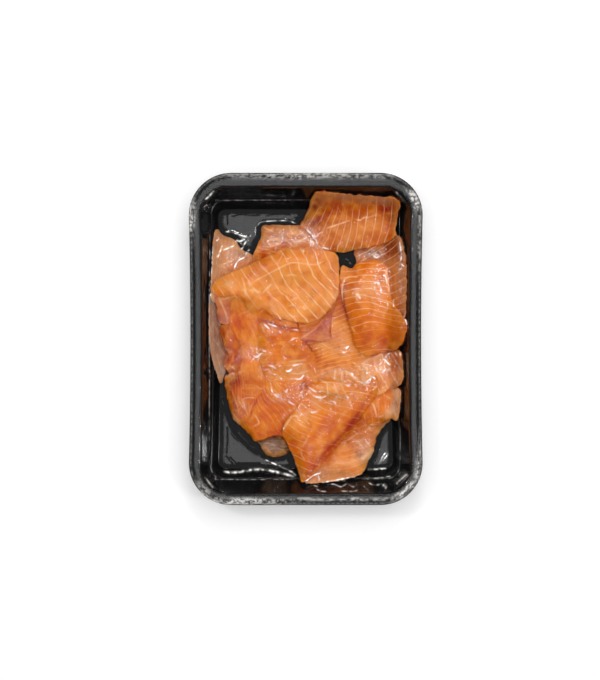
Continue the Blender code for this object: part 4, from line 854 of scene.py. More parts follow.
# Spots of colour over every trimming, each with its colour, strength, middle, half sizes and turn. Most give
# the flesh's own colour from place to place; some are painted shade along valleys and under edges.
SHADES = (
    ("brown", 0.9, 3.5, 79, 5.5, 8, 0), ("brown", 0.5, 8, 72, 7, 9, 0),
    ("brown", 0.7, 4.5, 73, 3, 6.5, 0), ("deep", 0.45, 12.5, 75, 6, 7, 0),
    ("copper", 0.45, 20.5, 64, 15, 5.5, 5), ("maroon", 0.4, 52.5, 72.5, 2.5, 5.5, 0),
    ("brown", 0.5, 33.5, 54, 7, 2, 5), ("taupe", 0.35, 40.5, 83, 9, 2.5, 0),
    ("taupe", 0.45, -13.5, 63, 11.5, 4.5, 0), ("copper", 0.35, -21.5, 59, 7, 3.5, 0),
    ("brown", 0.45, -25.5, 61.5, 3, 4.5, 0), ("copper", 0.5, 4.5, 63.5, 4, 4.5, 0),
    ("deep", 0.35, -16, 53, 7, 3, 0), ("copper", 0.6, -41.5, 46, 5.5, 2.5, 25),
    ("brown", 0.7, 50.5, 53, 7, 4, 20), ("umber", 0.3, -37.5, 50.5, 4, 3, 0),
    ("deep", 0.55, -25.5, 45.5, 6, 3.5, 20), ("glow", 0.5, -9.5, 34.5, 8, 6.5, 0),
    ("peach", 0.35, -20, 33, 5.5, 4.5, 0), ("glow", 0.45, -3.5, 20, 8, 4, 0),
    ("peach", 0.45, 14, 26, 4, 9, 0), ("apricot", 0.5, -44.5, 25, 5.5, 3, 0),
    ("glow", 0.5, 41, 34, 6, 5.5, 0), ("apricot", 0.7, 52.5, 31.5, 3, 13, 0),
    ("apricot", 0.75, 50, 16, 4.5, 5.5, 0), ("orange", 0.6, 32.5, 2, 4, 7, 10),
    ("rose", 0.35, 23.5, 22, 2.5, 9.5, 5), ("rust_orange", 0.6, 52.5, 6.5, 5.5, 3.5, 0),
    ("peach", 0.5, 21.5, 42, 3, 4.5, 0), ("apricot", 0.4, -29, 16, 9.5, 4, -15),
    ("rust", 0.4, -17, 9.5, 11.5, 2.5, -10), ("blush", 0.45, -11, 5.5, 8, 3, 0),
    ("rust", 0.3, 2.5, 6.5, 7, 3, 20), ("deep", 0.45, -35.5, 7, 4, 4.5, 0),
    ("peach", 0.5, 15, -2.5, 4.5, 4.5, 0), ("rust", 0.3, 3.5, -4, 3.5, 4, 30),
    ("rust_orange", 0.75, -43.5, -2.5, 4.5, 7, 0), ("brown", 0.45, -44, -12, 5.5, 9, 0),
    # The first spot on this line is painted shadow under slice_right's lower edge.
    ("brown", 0.6, 52.5, -3.5, 4.5, 4, -30), ("rust", 0.65, -44.5, -13, 3.5, 6.5, 0),
    ("brown", 0.7, -45, -24, 3.5, 5.5, 0), ("rust_orange", 0.55, -35, -12, 4, 4.5, 0),
    ("amber", 0.5, -24, -12, 5.5, 3.5, 0), ("deep", 0.5, 3, -13, 4, 4.5, 20),
    ("brown", 0.6, -44.5, -40, 2.5, 9, 10), ("deep", 0.35, -35, -40, 5.5, 6, 0),
    ("glow", 0.6, -16, -24, 6, 5.5, 0), ("peach", 0.5, -5, -21, 5.5, 3.5, 0),
    ("peach", 0.6, 13.5, -21.5, 6, 3, 10), ("copper", 0.5, 41, -12, 4.5, 3, 0),
    ("deep", 0.7, 54, -13.5, 3.5, 6, 0), ("glow", 0.7, 16, -32, 9.5, 3.5, 0),
    ("amber", 0.7, 31, -33.5, 4.5, 4, 0), ("glow", 0.5, -3.5, -48, 7.5, 5.5, 0),
    # Painted shade: the deep spots on this line and the next run along the valley at slice_low's right edge.
    ("orange", 0.6, 30.5, -41, 3.5, 4.5, 0), ("deep", 0.6, 18.5, -61, 4, 22, -42),
    ("deep", 0.8, 32.5, -51.5, 4.5, 5.5, -20), ("deep", 0.7, 24, -61, 5.5, 4.5, 0),
    ("copper", 0.6, 33.5, -61.5, 4, 5.5, 0), ("deep", 0.5, 3.5, -69.5, 4, 6.5, -30),
    ("deep", 0.6, 14, -70.5, 3.5, 5.5, -40), ("orange", 0.5, 24, -70, 7, 3.5, 0),
    ("tan", 0.5, 33, -70, 3, 4.5, 30), ("taupe", 0.4, 14.5, -80, 11.5, 3, 0),
    ("orange", 0.5, -6, -59.5, 3.5, 6.5, 15),
)

# Strokes over every trimming, each with its colour, half width, strength and points. Many of the dark ones
# follow valleys and edges between pieces and are painted shade there.
STREAKS = (
    # Painted shade along the valley under slice_centre, on this stroke and the next three.
    ("rust", 0.8, 0.7, ((-32, 11.9), (-26, 11.3), (-12.9, 5.4), (-4.6, 4.8), (3.7, 7.1),
        (8.5, 10.7), (16.9, 21.4))),
    ("maroon", 0.4, 0.5, ((-28.4, 11.9), (-22.5, 10.1), (-15.3, 6.5), (-8.2, 6), (-1, 7.1))),
    ("rust", 0.4, 0.55, ((-26, 17.8), (-22.4, 14.9), (-12.3, 9.5))),
    ("rust", 0.5, 0.6, ((-45.6, 26.2), (-41.5, 26.2), (-37.9, 24.4), (-36.1, 20.2))),
    ("peach", 0.5, 0.6, ((-37.4, 16.1), (-33.2, 17.9), (-29, 25))),
    ("cream", 0.4, 0.6, ((-34.3, 28.5), (-30.7, 29.7), (-27.2, 27.3))),
    ("rust", 0.5, 0.5, ((-26.6, 6.5), (-24.8, 1.8), (-20.1, -1.8), (-17.7, -6.6))),
    ("deep", 0.8, 0.5, ((-15.3, -7.7), (-9.4, -11.3), (-2.2, -11.3), (3.7, -7.7))),
    # Painted shade along valleys between pieces, on this stroke and the next two.
    ("maroon", 0.5, 0.65, ((-2.2, 0.6), (1.4, -2.4), (4.3, -7.7))),
    ("maroon", 0.5, 0.6, ((23.3, 33.9), (22.8, 26.1), (23.9, 17.2), (25.7, 10.7))),
    ("rose", 0.7, 0.5, ((21, 32.7), (21, 23.2), (22.2, 14.9))),
    ("rust", 0.5, 0.6, ((14.5, 12.5), (15.1, 0.6))),
    # Painted shade along the valley at slice_low's right edge, on this stroke and the next.
    ("brown", 0.8, 0.4, ((33, -42.3), (27.6, -50.7), (21.1, -59), (7.3, -72.2), (3.2, -78.7))),
    ("maroon", 0.5, 0.25, ((28.2, -50.1), (22.2, -57.8), (15.1, -65))),
    ("brown", 0.6, 0.6, ((-50, 7.8), (-48.2, -7.8), (-50, -16.1))),
    ("brown", 0.7, 0.6, ((-48.8, -19.7), (-44, -22.1), (-38.1, -22.1))),
    ("brown", 0.7, 0.6, ((-40.5, -52), (-35.7, -55.6), (-32.1, -60.4))),
    ("rust", 0.5, 0.5, ((-2.2, -26.8), (0.2, -30.4), (-4.6, -38.7))),
    ("maroon", 0.5, 0.5, ((-1, -26.2), (1.4, -29.8), (-0.4, -33.4))),
    ("rust", 0.5, 0.5, ((7.3, -19.7), (13.9, -14.9))),
    # Painted shadow under slice_right's lower edge.
    ("brown", 0.5, 0.6, ((46.6, -6.6), (51.3, -7.1), (56.1, -4.2))),
    ("deep", 0.5, 0.5, ((36, -32.2), (31.2, -41.7))), ("cream", 1, 0.8, ((33.7, -73), (39.7, -67))),
    ("fat", 0.4, 0.6, ((27.7, -59.2), (31.3, -62.2), (35.5, -60.4), (37.3, -64))),
    ("fat", 0.4, 0.6, ((30.1, -64.6), (33.7, -65.8), (37.9, -63.4))),
    ("umber", 0.5, 0.5, ((30.1, -67.6), (31.9, -70.6))),
    ("amber", 0.5, 0.5, ((16.3, -68.2), (22.9, -70), (28.9, -67.6))),
    ("peach", 0.4, 0.5, ((14.5, -73.6), (21.7, -76), (28.9, -74.2))),
    ("rust", 0.5, 0.5, ((7.3, -3.6), (9.7, -7.7), (8.5, -12.5))),
    ("rust", 0.4, 0.5, ((-25.5, -23.3), (-20.1, -26.8), (-17.7, -31.6))),
    ("cream", 0.3, 0.5, ((6.7, -4.8), (10.3, -3), (14.5, -6))),
    ("deep", 0.6, 0.5, ((-35, -16.1), (-33.3, -22.1), (-29.7, -26.9))),
    ("rust", 0.5, 0.5, ((-15.4, 59.2), (-11.8, 61.6), (-8.8, 58.6))),
)


def linear(name):
    """A palette colour in linear light."""
    share = np.array(PALETTE[name]) / 255
    return np.where(share <= 0.04045, share / 12.92, ((share + 0.055) / 1.055) ** 2.4)


def smoothstep(low, high, value):
    t = np.clip((value - low) / (high - low), 0, 1)
    return t * t * (3 - 2 * t)


def noise(x, y, size, seed):
    """Smooth noise from -1 to 1 with features of this size."""
    rng = np.random.default_rng(seed)
    lattice = rng.uniform(-1, 1, (128, 128))
    u = np.asarray(x) / size + 61.3
    v = np.asarray(y) / size + 37.7
    i = np.floor(u).astype(int)
    j = np.floor(v).astype(int)
    s = smoothstep(0, 1, u - i)
    t = smoothstep(0, 1, v - j)
    a, b = i % 128, (i + 1) % 128
    c, d = j % 128, (j + 1) % 128
    near = lattice[a, c] * (1 - s) + lattice[b, c] * s
    far = lattice[a, d] * (1 - s) + lattice[b, d] * s
    return near * (1 - t) + far * t


# ---------------------------------------------------------------- curves in the plan


def catmull(points, closed, spacing):
    """Evenly spaced points on a Catmull-Rom curve through the given ones."""
    points = np.array(points, float)
    count = len(points)
    spans = count if closed else count - 1
    fine = []
    for i in range(spans):
        if closed:
            p0, p1, p2, p3 = (points[(i + k) % count] for k in (-1, 0, 1, 2))
        else:
            p0, p1, p2, p3 = (points[min(max(i + k, 0), count - 1)] for k in (-1, 0, 1, 2))
        for t in np.linspace(0, 1, 10, endpoint=False):
            bend = 2 * p0 - 5 * p1 + 4 * p2 - p3
            twist = 3 * (p1 - p2) + p3 - p0
            fine.append((2 * p1 + (p2 - p0) * t + bend * t**2 + twist * t**3) / 2)
    fine.append(points[0] if closed else points[-1])
    fine = np.array(fine)
    lengths = np.concatenate(([0], np.cumsum(np.linalg.norm(np.diff(fine, axis=0), axis=1))))
    steps = max(3, round(lengths[-1] / spacing))
    where = np.linspace(0, lengths[-1], steps + (not closed), endpoint=not closed)
    return np.column_stack([np.interp(where, lengths, fine[:, k]) for k in (0, 1)])


def anticlockwise(points):
    points = np.array(points, float)
    after = np.roll(points, -1, axis=0)
    area = np.sum(points[:, 0] * after[:, 1] - after[:, 0] * points[:, 1])
    return points if area > 0 else points[::-1]


def sideways(line, closed):
    """The unit normal at each point of a line, to its left."""
    if closed:
        along = np.roll(line, -1, axis=0) - np.roll(line, 1, axis=0)
    else:
        along = np.gradient(line, axis=0)
    along /= np.maximum(np.linalg.norm(along, axis=1), 1e-9)[:, None]
    return np.column_stack((-along[:, 1], along[:, 0]))


def distance_to(x, y, line, closed):
    """How far each point is from a line, and how far along the line its nearest point is."""
    starts = line if closed else line[:-1]
    ends = np.roll(line, -1, axis=0) if closed else line[1:]
    best = np.full(len(x), np.inf)
    along = np.zeros(len(x))
    run = 0.0
    for (ax, ay), (bx, by) in zip(starts, ends):
        dx, dy = bx - ax, by - ay
        length = math.hypot(dx, dy)
        share = np.clip(((x - ax) * dx + (y - ay) * dy) / max(length * length, 1e-12), 0, 1)
        gap = np.hypot(x - ax - share * dx, y - ay - share * dy)
        nearer = gap < best
        best = np.where(nearer, gap, best)
        along = np.where(nearer, run + share * length, along)
        run += length
    return best, along / max(run, 1e-9)


def inside(x, y, outline):
    """Whether each point lies inside a closed outline."""
    found = np.zeros(len(x), bool)
    after = np.roll(outline, -1, axis=0)
    for (ax, ay), (bx, by) in zip(outline, after):
        if ay != by:
            crosses = (ay > y) != (by > y)
            found ^= crosses & (x < ax + (y - ay) * (bx - ax) / (by - ay))
    return found


# ---------------------------------------------------------------- heights


class Field:
    """Heights on a square grid over the whole tray."""

    def __init__(self):
        self.x = np.arange(-WIDTH / 2 - MARGIN, WIDTH / 2 + MARGIN + CELL, CELL)
        self.y = np.arange(-LENGTH / 2 - MARGIN, LENGTH / 2 + MARGIN + CELL, CELL)
        self.grid_x, self.grid_y = np.meshgrid(self.x, self.y, indexing="ij")

    def flat(self):
        return self.grid_x.ravel(), self.grid_y.ravel()

    def at(self, heights, x, y):
        """Reads the grid between its points with a cubic curve each way."""
        u = np.clip((x - self.x[0]) / CELL, 1, len(self.x) - 3.001)
        v = np.clip((y - self.y[0]) / CELL, 1, len(self.y) - 3.001)
        i = u.astype(int)
        j = v.astype(int)
        total = 0.0
        for a, wa in enumerate(cubic_weights(u - i)):
            for b, wb in enumerate(cubic_weights(v - j)):
                total = total + wa * wb * heights[i + a - 1, j + b - 1]
        return total


def cubic_weights(t):
    return (
        (-(t**3) + 2 * t**2 - t) / 2,
        (3 * t**3 - 5 * t**2 + 2) / 2,
        (-3 * t**3 + 4 * t**2 + t) / 2,
        (t**3 - t**2) / 2,
    )


def blurred(heights, reach):
    """Heights averaged over a bell-shaped patch of this reach in millimetres."""
    steps = max(1, round(2.5 * reach / CELL))
    weights = np.exp(-0.5 * (np.arange(-steps, steps + 1) * CELL / reach) ** 2)
    weights /= weights.sum()
    for axis in (0, 1):
        padded = np.pad(heights, [(steps, steps) if k == axis else (0, 0) for k in (0, 1)], mode="edge")
        size = heights.shape[axis]
        parts = (np.take(padded, range(k, k + size), axis=axis) for k in range(2 * steps + 1))
        heights = sum(weight * part for weight, part in zip(weights, parts))
    return heights


def widened(heights, reach):
    """The highest value within reach cells each way."""
    for _ in range(reach):
        padded = np.pad(heights, 1, mode="edge")
        sides = (padded[2:, 1:-1], padded[:-2, 1:-1], padded[1:-1, 2:], padded[1:-1, :-2])
        heights = np.maximum.reduce((heights, *sides))
    return heights


def draped(heights, passes):
    """A sheet laid over the heights: it bridges hollows and never goes below them."""
    sheet = heights.copy()
    for _ in range(passes):
        padded = np.pad(sheet, 1, mode="edge")
        mean = (padded[2:, 1:-1] + padded[:-2, 1:-1] + padded[1:-1, 2:] + padded[1:-1, :-2]) / 4
        sheet = np.maximum(heights, mean)
    return sheet


field = Field()

# ---------------------------------------------------------------- meshes


def plain_mesh(name, points, faces):
    mesh = bpy.data.meshes.new(name)
    mesh.from_pydata((np.asarray(points) * MM).tolist(), [], faces)
    mesh.validate()
    mesh.shade_smooth()
    made = bpy.data.objects.new(name, mesh)
    bpy.context.scene.collection.objects.link(made)
    return made


def attribute(mesh, name, values):
    made = mesh.attributes.new(name, "FLOAT", "POINT")
    made.data.foreach_set("value", np.asarray(values, np.float32))


def colour_attribute(mesh, name, colours):
    made = mesh.attributes.new(name, "FLOAT_COLOR", "POINT")
    four = np.ones((len(colours), 4), np.float32)
    four[:, :3] = colours
    made.data.foreach_set("color", four.ravel())


def honeycomb(outline, spacing):
    """Points of a triangular grid over an outline's box."""
    low = outline.min(axis=0)
    high = outline.max(axis=0)
    rows = np.arange(low[1], high[1], spacing * math.sqrt(3) / 2)
    columns = np.arange(low[0], high[0], spacing)
    grid = []
    for k, y in enumerate(rows):
        grid.append(np.column_stack((columns + (k % 2) * spacing / 2, np.full(len(columns), y))))
    return np.concatenate(grid)


def thinned(first, rest, gap):
    """The first points and those of the rest that are not closer to them than the gap."""
    tree = kdtree.KDTree(len(first))
    for i, (x, y) in enumerate(first):
        tree.insert((x, y, 0), i)
    tree.balance()
    kept = [p for p in rest if tree.find((p[0], p[1], 0))[2] > gap]
    return np.concatenate((first, kept)) if kept else first


def triangulated(outline, points):
    """Points with the outline's first, and triangles that fill the outline."""
    everything = [Vector(p) for p in np.concatenate((outline, points))]
    count = len(outline)
    edges = [(i, (i + 1) % count) for i in range(count)]
    found, _, faces, origins, _, _ = delaunay_2d_cdt(everything, edges, [], 1, 1e-5)
    plan = np.array([tuple(p) for p in found])
    place = {}
    for i, sources in enumerate(origins):
        for source in sources:
            place[source] = i
    first = [place[i] for i in range(count)]
    order = first + sorted(set(range(len(plan))) - set(first))
    new = {old: k for k, old in enumerate(order)}
    triangles = [tuple(new[v] for v in face) for face in faces]
    plan = plan[order]
    a, b, c = (plan[[f[k] for f in triangles]] for k in range(3))
    turn = (b[:, 0] - a[:, 0]) * (c[:, 1] - a[:, 1]) - (b[:, 1] - a[:, 1]) * (c[:, 0] - a[:, 0])
    return plan, [f if t > 0 else f[::-1] for f, t in zip(triangles, turn)]


def rows_beside(line, offsets, closed=False):
    """Rows of points beside a line."""
    left = sideways(line, closed)
    return np.concatenate([line + offset * left for offset in offsets])


# ---------------------------------------------------------------- tray


def tray_profile():
    """Loops from the lip's lower edge to the floor.

    Each has its inset across, inset along, corner radius, height, corner cut and how much further in the back
    side lies.
    """
    mouth = 7.2
    return (
        (0.0, 0.0, OUTER_RADIUS, LAND_Z - 3.0, 0.0, 0.0),
        (0.0, 0.0, OUTER_RADIUS, LAND_Z - 1.4, 0.0, 0.0),
        (0.9, 0.9, 24.1, LAND_Z - 0.5, 0.0, 0.0),
        (2.5, 2.5, 22.5, LAND_Z - 0.5, 0.0, 0.0),
        (2.9, 2.9, 22.1, LAND_Z, 0.0, 0.0),
        (mouth - 0.5, mouth - 0.5, 16.6, LAND_Z, 0.0, BACK),
        (mouth, mouth, 16.1, LAND_Z - 0.5, 0.0, BACK),
        (mouth + 0.4, mouth + 0.4, 15.7, LAND_Z - 1.7, 0.0, BACK),
        (mouth + 0.5, mouth + 0.5, 15.4, LAND_Z - 1.9, 1.6, BACK),
        (mouth + 0.7, mouth + 0.7, 15.0, LAND_Z - 2.6, 1.7, BACK),
        (12.0, 14.0, 8.6, LEDGE_Z, 0.0, 0.0),
        (13.0, 15.0, 7.6, LEDGE_Z - 0.1, 0.0, 0.0),
        (15.4, 18.8, 5.5, WALL + 0.8, 0.0, 0.0),
        (16.2, 19.6, 4.9, WALL, 0.0, 0.0),
        (24.0, 27.4, 3.0, WALL, 0.0, 0.0),
    )


def softened(profile, reach):
    """The profile with every corner cut by a short curve."""
    keys = [np.array(key) for key in profile]
    eased = [keys[0]]
    for before, key, after in zip(keys, keys[1:], keys[2:]):
        into = min(reach, 0.45 * math.hypot(key[0] - before[0], key[3] - before[3]))
        out = min(reach, 0.45 * math.hypot(after[0] - key[0], after[3] - key[3]))
        start = key + (before - key) * into / max(math.hypot(key[0] - before[0], key[3] - before[3]), 1e-6)
        end = key + (after - key) * out / max(math.hypot(after[0] - key[0], after[3] - key[3]), 1e-6)
        for t in (0.0, 0.33, 0.67, 1.0):
            eased.append(start * (1 - t) ** 2 + 2 * key * t * (1 - t) + end * t * t)
    eased.append(keys[-1])
    return eased


def tray_loop(key, arc_steps=16, short_steps=24, long_steps=40):
    """A rounded rectangle with its long sides bowed in a little."""
    inset_x, inset_y, radius, z, cut, back = key
    straight_x = WIDTH / 2 - inset_x - radius
    straight_y = LENGTH / 2 - inset_y - radius
    across = ((-2 * straight_x, 0), (0, -2 * straight_y), (2 * straight_x, 0), (0, 2 * straight_y))
    points = []
    for corner in range(4):
        sign = np.array(((1, 1), (-1, 1), (-1, -1), (1, -1))[corner])
        for step in range(arc_steps + 1):
            angle = math.radians(90 * (corner + step / arc_steps))
            out = np.array((math.cos(angle), math.sin(angle)))
            past = max(0.0, radius * np.abs(out).sum() / math.sqrt(2) - (radius - cut)) / math.sqrt(2)
            points.append(sign * (straight_x, straight_y) + radius * out - sign * past)
        start = points[-1]
        steps = (short_steps, long_steps)[corner % 2]
        points += [start + np.array(across[corner]) * k / steps for k in range(1, steps)]
    points = np.array(points)
    share = np.maximum(0, 1 - (points[:, 1] / straight_y) ** 2)
    points[:, 0] -= np.copysign(SIDE_BOW * share, points[:, 0]) * (np.abs(points[:, 0]) > straight_x)
    points[:, 1] -= back * (points[:, 1] > 0)
    return np.column_stack((points, np.full(len(points), z)))


def loop_distance(x, y, key):
    """How far each point is outside a loop, less than nothing inside it."""
    inset_x, inset_y, radius, _, cut, back = key
    y = y + back * (y > 0)
    straight_x = WIDTH / 2 - inset_x - radius
    straight_y = LENGTH / 2 - inset_y - radius
    share = np.maximum(0, 1 - (y / straight_y) ** 2)
    past_x = np.abs(x) + SIDE_BOW * share - straight_x
    past_y = np.abs(y) - straight_y
    away = np.hypot(np.maximum(past_x, 0), np.maximum(past_y, 0))
    plain = away + np.minimum(np.maximum(past_x, past_y), 0) - radius
    return np.maximum(plain, (past_x + past_y) / math.sqrt(2) - radius + cut)


def tray_heights(x, y):
    """The height of the tray's upper face."""
    keys = softened(tray_profile(), 0.5)
    away = [loop_distance(x, y, key) for key in keys]
    z = np.where(away[0] > 0, LAND_Z - 1.4, WALL)
    for outer, inner, outer_away, inner_away in zip(keys, keys[1:], away, away[1:]):
        between = (outer_away <= 0) & (inner_away > 0)
        share = -outer_away / np.maximum(inner_away - outer_away, 1e-9)
        z = np.where(between, outer[3] + share * (inner[3] - outer[3]), z)
    return z


def make_tray():
    loops = [tray_loop(key) for key in softened(tray_profile(), 0.5)]
    count = len(loops[0])
    points = np.concatenate(loops + [np.array([[0.0, 0.0, WALL]])])
    faces = []
    for level in range(len(loops) - 1):
        low = level * count
        for i in range(count):
            j = (i + 1) % count
            faces.append((low + i, low + j, low + count + j, low + count + i))
    last = (len(loops) - 1) * count
    faces += [(last + i, last + (i + 1) % count, len(points) - 1) for i in range(count)]
    made = plain_mesh("tray_shell", points, faces)
    wall = made.modifiers.new("wall", "SOLIDIFY")
    wall.thickness = WALL * MM
    wall.offset = -1.0
    wall.use_even_offset = True
    return settled(made)


def settled(piece):
    """The piece with its modifiers made part of its mesh."""
    evaluated = piece.evaluated_get(bpy.context.evaluated_depsgraph_get())
    mesh = bpy.data.meshes.new_from_object(evaluated)
    piece.modifiers.clear()
    piece.data = mesh
    return piece


# ---------------------------------------------------------------- trimmings


def septa_phase(x, y, guides):
    """A smooth row number over the plan that takes each guide's number along it."""
    if not guides:
        return np.zeros(len(x))
    places = []
    numbers = []
    for number, points in guides:
        line = catmull(points, False, 4.0)
        places.append(line)
        numbers += [number] * len(line)
    places = np.concatenate(places)
    numbers = np.array(numbers, float)
    count = len(places)
    stiff = np.zeros((count + 3, count + 3))
    stiff[:count, :count] = spline_kernel(places[:, None] - places[None]) + 3.0 * np.eye(count)
    stiff[:count, count] = 1
    stiff[:count, count + 1 :] = places
    stiff[count:, :count] = stiff[:count, count:].T
    weights = np.linalg.solve(stiff, np.concatenate((numbers, np.zeros(3))))
    plan = np.column_stack((x, y))
    kernel = spline_kernel(plan[:, None] - places[None])
    return kernel @ weights[:count] + weights[count] + plan @ weights[count + 1 :]


def spline_kernel(offsets):
    square = np.sum(offsets**2, axis=-1)
    return 0.5 * square * np.log(square + 1e-9) / 50.0


def spot(x, y, px, py, rx, ry, turn):
    """A soft round spot: 1 in its middle, falling off at its half sizes."""
    angle = math.radians(turn)
    u = ((x - px) * math.cos(angle) + (y - py) * math.sin(angle)) / rx
    v = ((y - py) * math.cos(angle) - (x - px) * math.sin(angle)) / ry
    return np.exp(-0.7 * np.minimum(u * u + v * v, 30) ** 1.2)


def spots(x, y, places):
    """The strongest of some spots, each with its strength last."""
    found = np.zeros(len(x))
    for *place, strength in places:
        found = np.maximum(found, strength * spot(x, y, *place))
    return found


def ragged_outline(spec, seed):
    """The piece's outline with small nicks and waves."""
    line = catmull(anticlockwise(spec["outline"]), True, 0.6)
    x, y = line.T
    wave = 0.35 * noise(x, y, 3.0, seed) + 0.22 * noise(x, y, 1.3, seed + 1)
    return line + sideways(line, True) * wave[:, None]


def slab(x, y, edge, spec, seed):
    """Half thicknesses of the slab above and below its middle sheet, at a distance from its edge."""
    reach = spec["round"]
    share = np.clip(edge / reach, 0, 1)
    arch = np.sqrt(np.maximum(1 - (1 - share) ** 2, 0))
    taper = 0.62 + 0.38 * smoothstep(0, 2.6 * reach, edge)
    thick = spec["thick"] * taper
    relief = 0.5 * noise(x, y, 9.0, seed + 2) + 0.3 * noise(x, y, 3.6, seed + 3)
    return 0.5 * thick * (1 + arch) + relief * arch, 0.5 * thick * (1 - arch)


def painted(x, y, edge, spec, seed):
    """The flesh's colour: its own, with patches, mottling and strokes."""
    colour = np.tile(linear(spec["flesh"]), (len(x), 1))
    sway_x = x + 1.3 * noise(x, y, 5.0, seed + 4)
    sway_y = y + 1.3 * noise(x, y, 5.0, seed + 5)
    # Some of the patches, spots and strokes laid on here are painted shade in valleys and under edges, and
    # painted highlight where the film glints.
    for name, strength, *place in (*spec["patches"], *SHADES):
        share = strength * spot(sway_x, sway_y, *place)
        colour += (linear(name) - colour) * share[:, None]
    tone = 0.34 * noise(x, y, 6.0, seed + 6) + 0.42 * noise(x, y, 3.0, seed + 7)
    tone += 0.2 * noise(x, y, 1.5, seed + 12)
    colour += (colour * DEEPER - colour) * np.maximum(tone, 0)[:, None]
    colour += (linear("glow") - colour) * np.maximum(-0.7 * tone, 0)[:, None]
    for name, shift in (("rust", 13), ("peach", 15)):
        vein = np.exp(-((noise(sway_x, sway_y, 4.5, seed + shift) / 0.1) ** 2))
        vein *= 0.32 * smoothstep(0.0, 0.5, noise(x, y, 8.0, seed + shift + 1))
        colour += (linear(name) - colour) * vein[:, None]
    for index, (name, width, strength, points) in enumerate((*spec["strokes"], *STREAKS)):
        line = catmull(points, False, 0.8)
        gap, along = distance_to(x, y, line, False)
        ends = 0.45 + 0.55 * smoothstep(0, 0.15, along) * smoothstep(1, 0.85, along)
        waver = 0.75 + 0.35 * noise(along * 9 + index, along * 0, 1.0, seed + 8)
        share = np.clip(strength * ends * waver, 0, 1) * np.exp(-((gap / max(width, 0.25)) ** 2))
        colour += (linear(name) - colour) * share[:, None]
    return colour


def rested(heap):
    """The sheet that a trimming's underside follows: smooth, and just clear of the heap."""
    sheet = draped(widened(heap, 1), 60)
    return np.maximum(blurred(sheet, 2.5), widened(heap, 1)) + 0.15


def pressed(heap):
    """How the film presses the heap: a smooth middle surface, and how much of each step from it is left."""
    tray = tray_heights(*field.flat()).reshape(heap.shape)
    food = (heap - tray > 0.8).astype(float)
    weight = np.maximum(blurred(food, 3.5), 1e-3)
    middle = blurred(heap * food, 3.5) / weight
    left = 1 - 0.6 * smoothstep(0.62, 0.97, blurred(food, 3.0))
    left *= 1 - 0.85 * spots(*field.flat(), MELDS).reshape(heap.shape)
    return middle, left


def squeezed(x, y, z, middle, left):
    """Heights moved towards the middle surface."""
    share = field.at(left, x, y)
    centre = field.at(middle, x, y)
    return capped(centre + share * (z - centre))


def capped(z):
    """Heights eased off above the free height, so that nothing stands over the flange."""
    return np.where(z > FREE_Z, FREE_Z + 4.5 * np.tanh((z - FREE_Z) / 4.5), z)


def make_trimming(name, spec, heap, seed):
    """Lays one trimming over the heap, raises the heap and gives the piece."""
    outline = ragged_outline(spec, seed)
    sheet = rested(heap)
    rings = [rows_beside(outline, [share * spec["round"]], True) for share in (0.04, 0.14, 0.32, 0.6, 1.0)]
    reaches = (0, 0.35, -0.35, 0.8, -0.8)
    rows = [rows_beside(catmull(points, False, 0.5), reaches) for *_, points in spec["strokes"]]
    drawn = np.concatenate(rings + rows)
    drawn = np.unique(np.round(drawn, 1), axis=0)
    drawn = drawn[inside(drawn[:, 0], drawn[:, 1], outline)]
    fine = thinned(drawn, honeycomb(outline, 0.75), 0.4)
    fine = fine[inside(fine[:, 0], fine[:, 1], outline)]
    fine = fine[distance_to(fine[:, 0], fine[:, 1], outline, True)[0] > 0.04]
    plan, top = triangulated(outline, fine)
    coarse = honeycomb(outline, 2.4)
    coarse = coarse[inside(coarse[:, 0], coarse[:, 1], outline)]
    coarse = coarse[distance_to(coarse[:, 0], coarse[:, 1], outline, True)[0] > 1.0]
    coarse = np.concatenate((coarse, rings[2][::2])) if len(coarse) else coarse
    under_plan, under = triangulated(outline, coarse)

    x, y = plan.T
    edge, _ = distance_to(x, y, outline, True)
    edge[: len(outline)] = 0
    above, _ = slab(x, y, edge, spec, seed)
    upper = field.at(sheet, x, y) + above
    under_x, under_y = under_plan.T
    under_edge, _ = distance_to(under_x, under_y, outline, True)
    under_edge[: len(outline)] = 0
    _, below = slab(under_x, under_y, under_edge, spec, seed)
    lower = field.at(sheet, under_x, under_y) + below

    count = len(outline)
    shift = len(plan) - count
    points = np.concatenate((np.column_stack((plan, upper)), np.column_stack((under_plan, lower))[count:]))
    faces = top + [tuple(v if v < count else v + shift for v in reversed(face)) for face in under]
    made = plain_mesh(f"{name}_piece", points, faces)

    grid_x, grid_y = field.flat()
    covered = inside(grid_x, grid_y, outline)
    cover_x, cover_y = grid_x[covered], grid_y[covered]
    cover_edge, _ = distance_to(cover_x, cover_y, outline, True)
    raised, _ = slab(cover_x, cover_y, cover_edge, spec, seed)
    heap = heap.copy()
    flat = heap.ravel()
    flat[covered] = np.maximum(flat[covered], sheet.ravel()[covered] + raised)

    all_x, all_y = points[:, 0], points[:, 1]
    all_edge = np.concatenate((edge, under_edge[count:]))
    strength = spec["septa_strength"] * (0.75 + 0.35 * noise(all_x, all_y, 6.0, seed + 9))
    phase = septa_phase(all_x, all_y, spec["septa"]) + 0.1 * noise(all_x, all_y, 5.0, seed + 10)
    attribute(made.data, "septa", phase)
    strength *= 1 - spots(all_x, all_y, BARE)
    attribute(made.data, "septa_strength", strength * smoothstep(-0.3, 1.0, all_edge))
    attribute(made.data, "septa_width", np.full(len(points), spec["septa_width"]))
    return made, points, all_edge, heap


# ---------------------------------------------------------------- film


def crease_lines():
    return [(rise, width, painted_glint, catmull(points, False, 0.5)) for rise, width, painted_glint, points in CREASES]


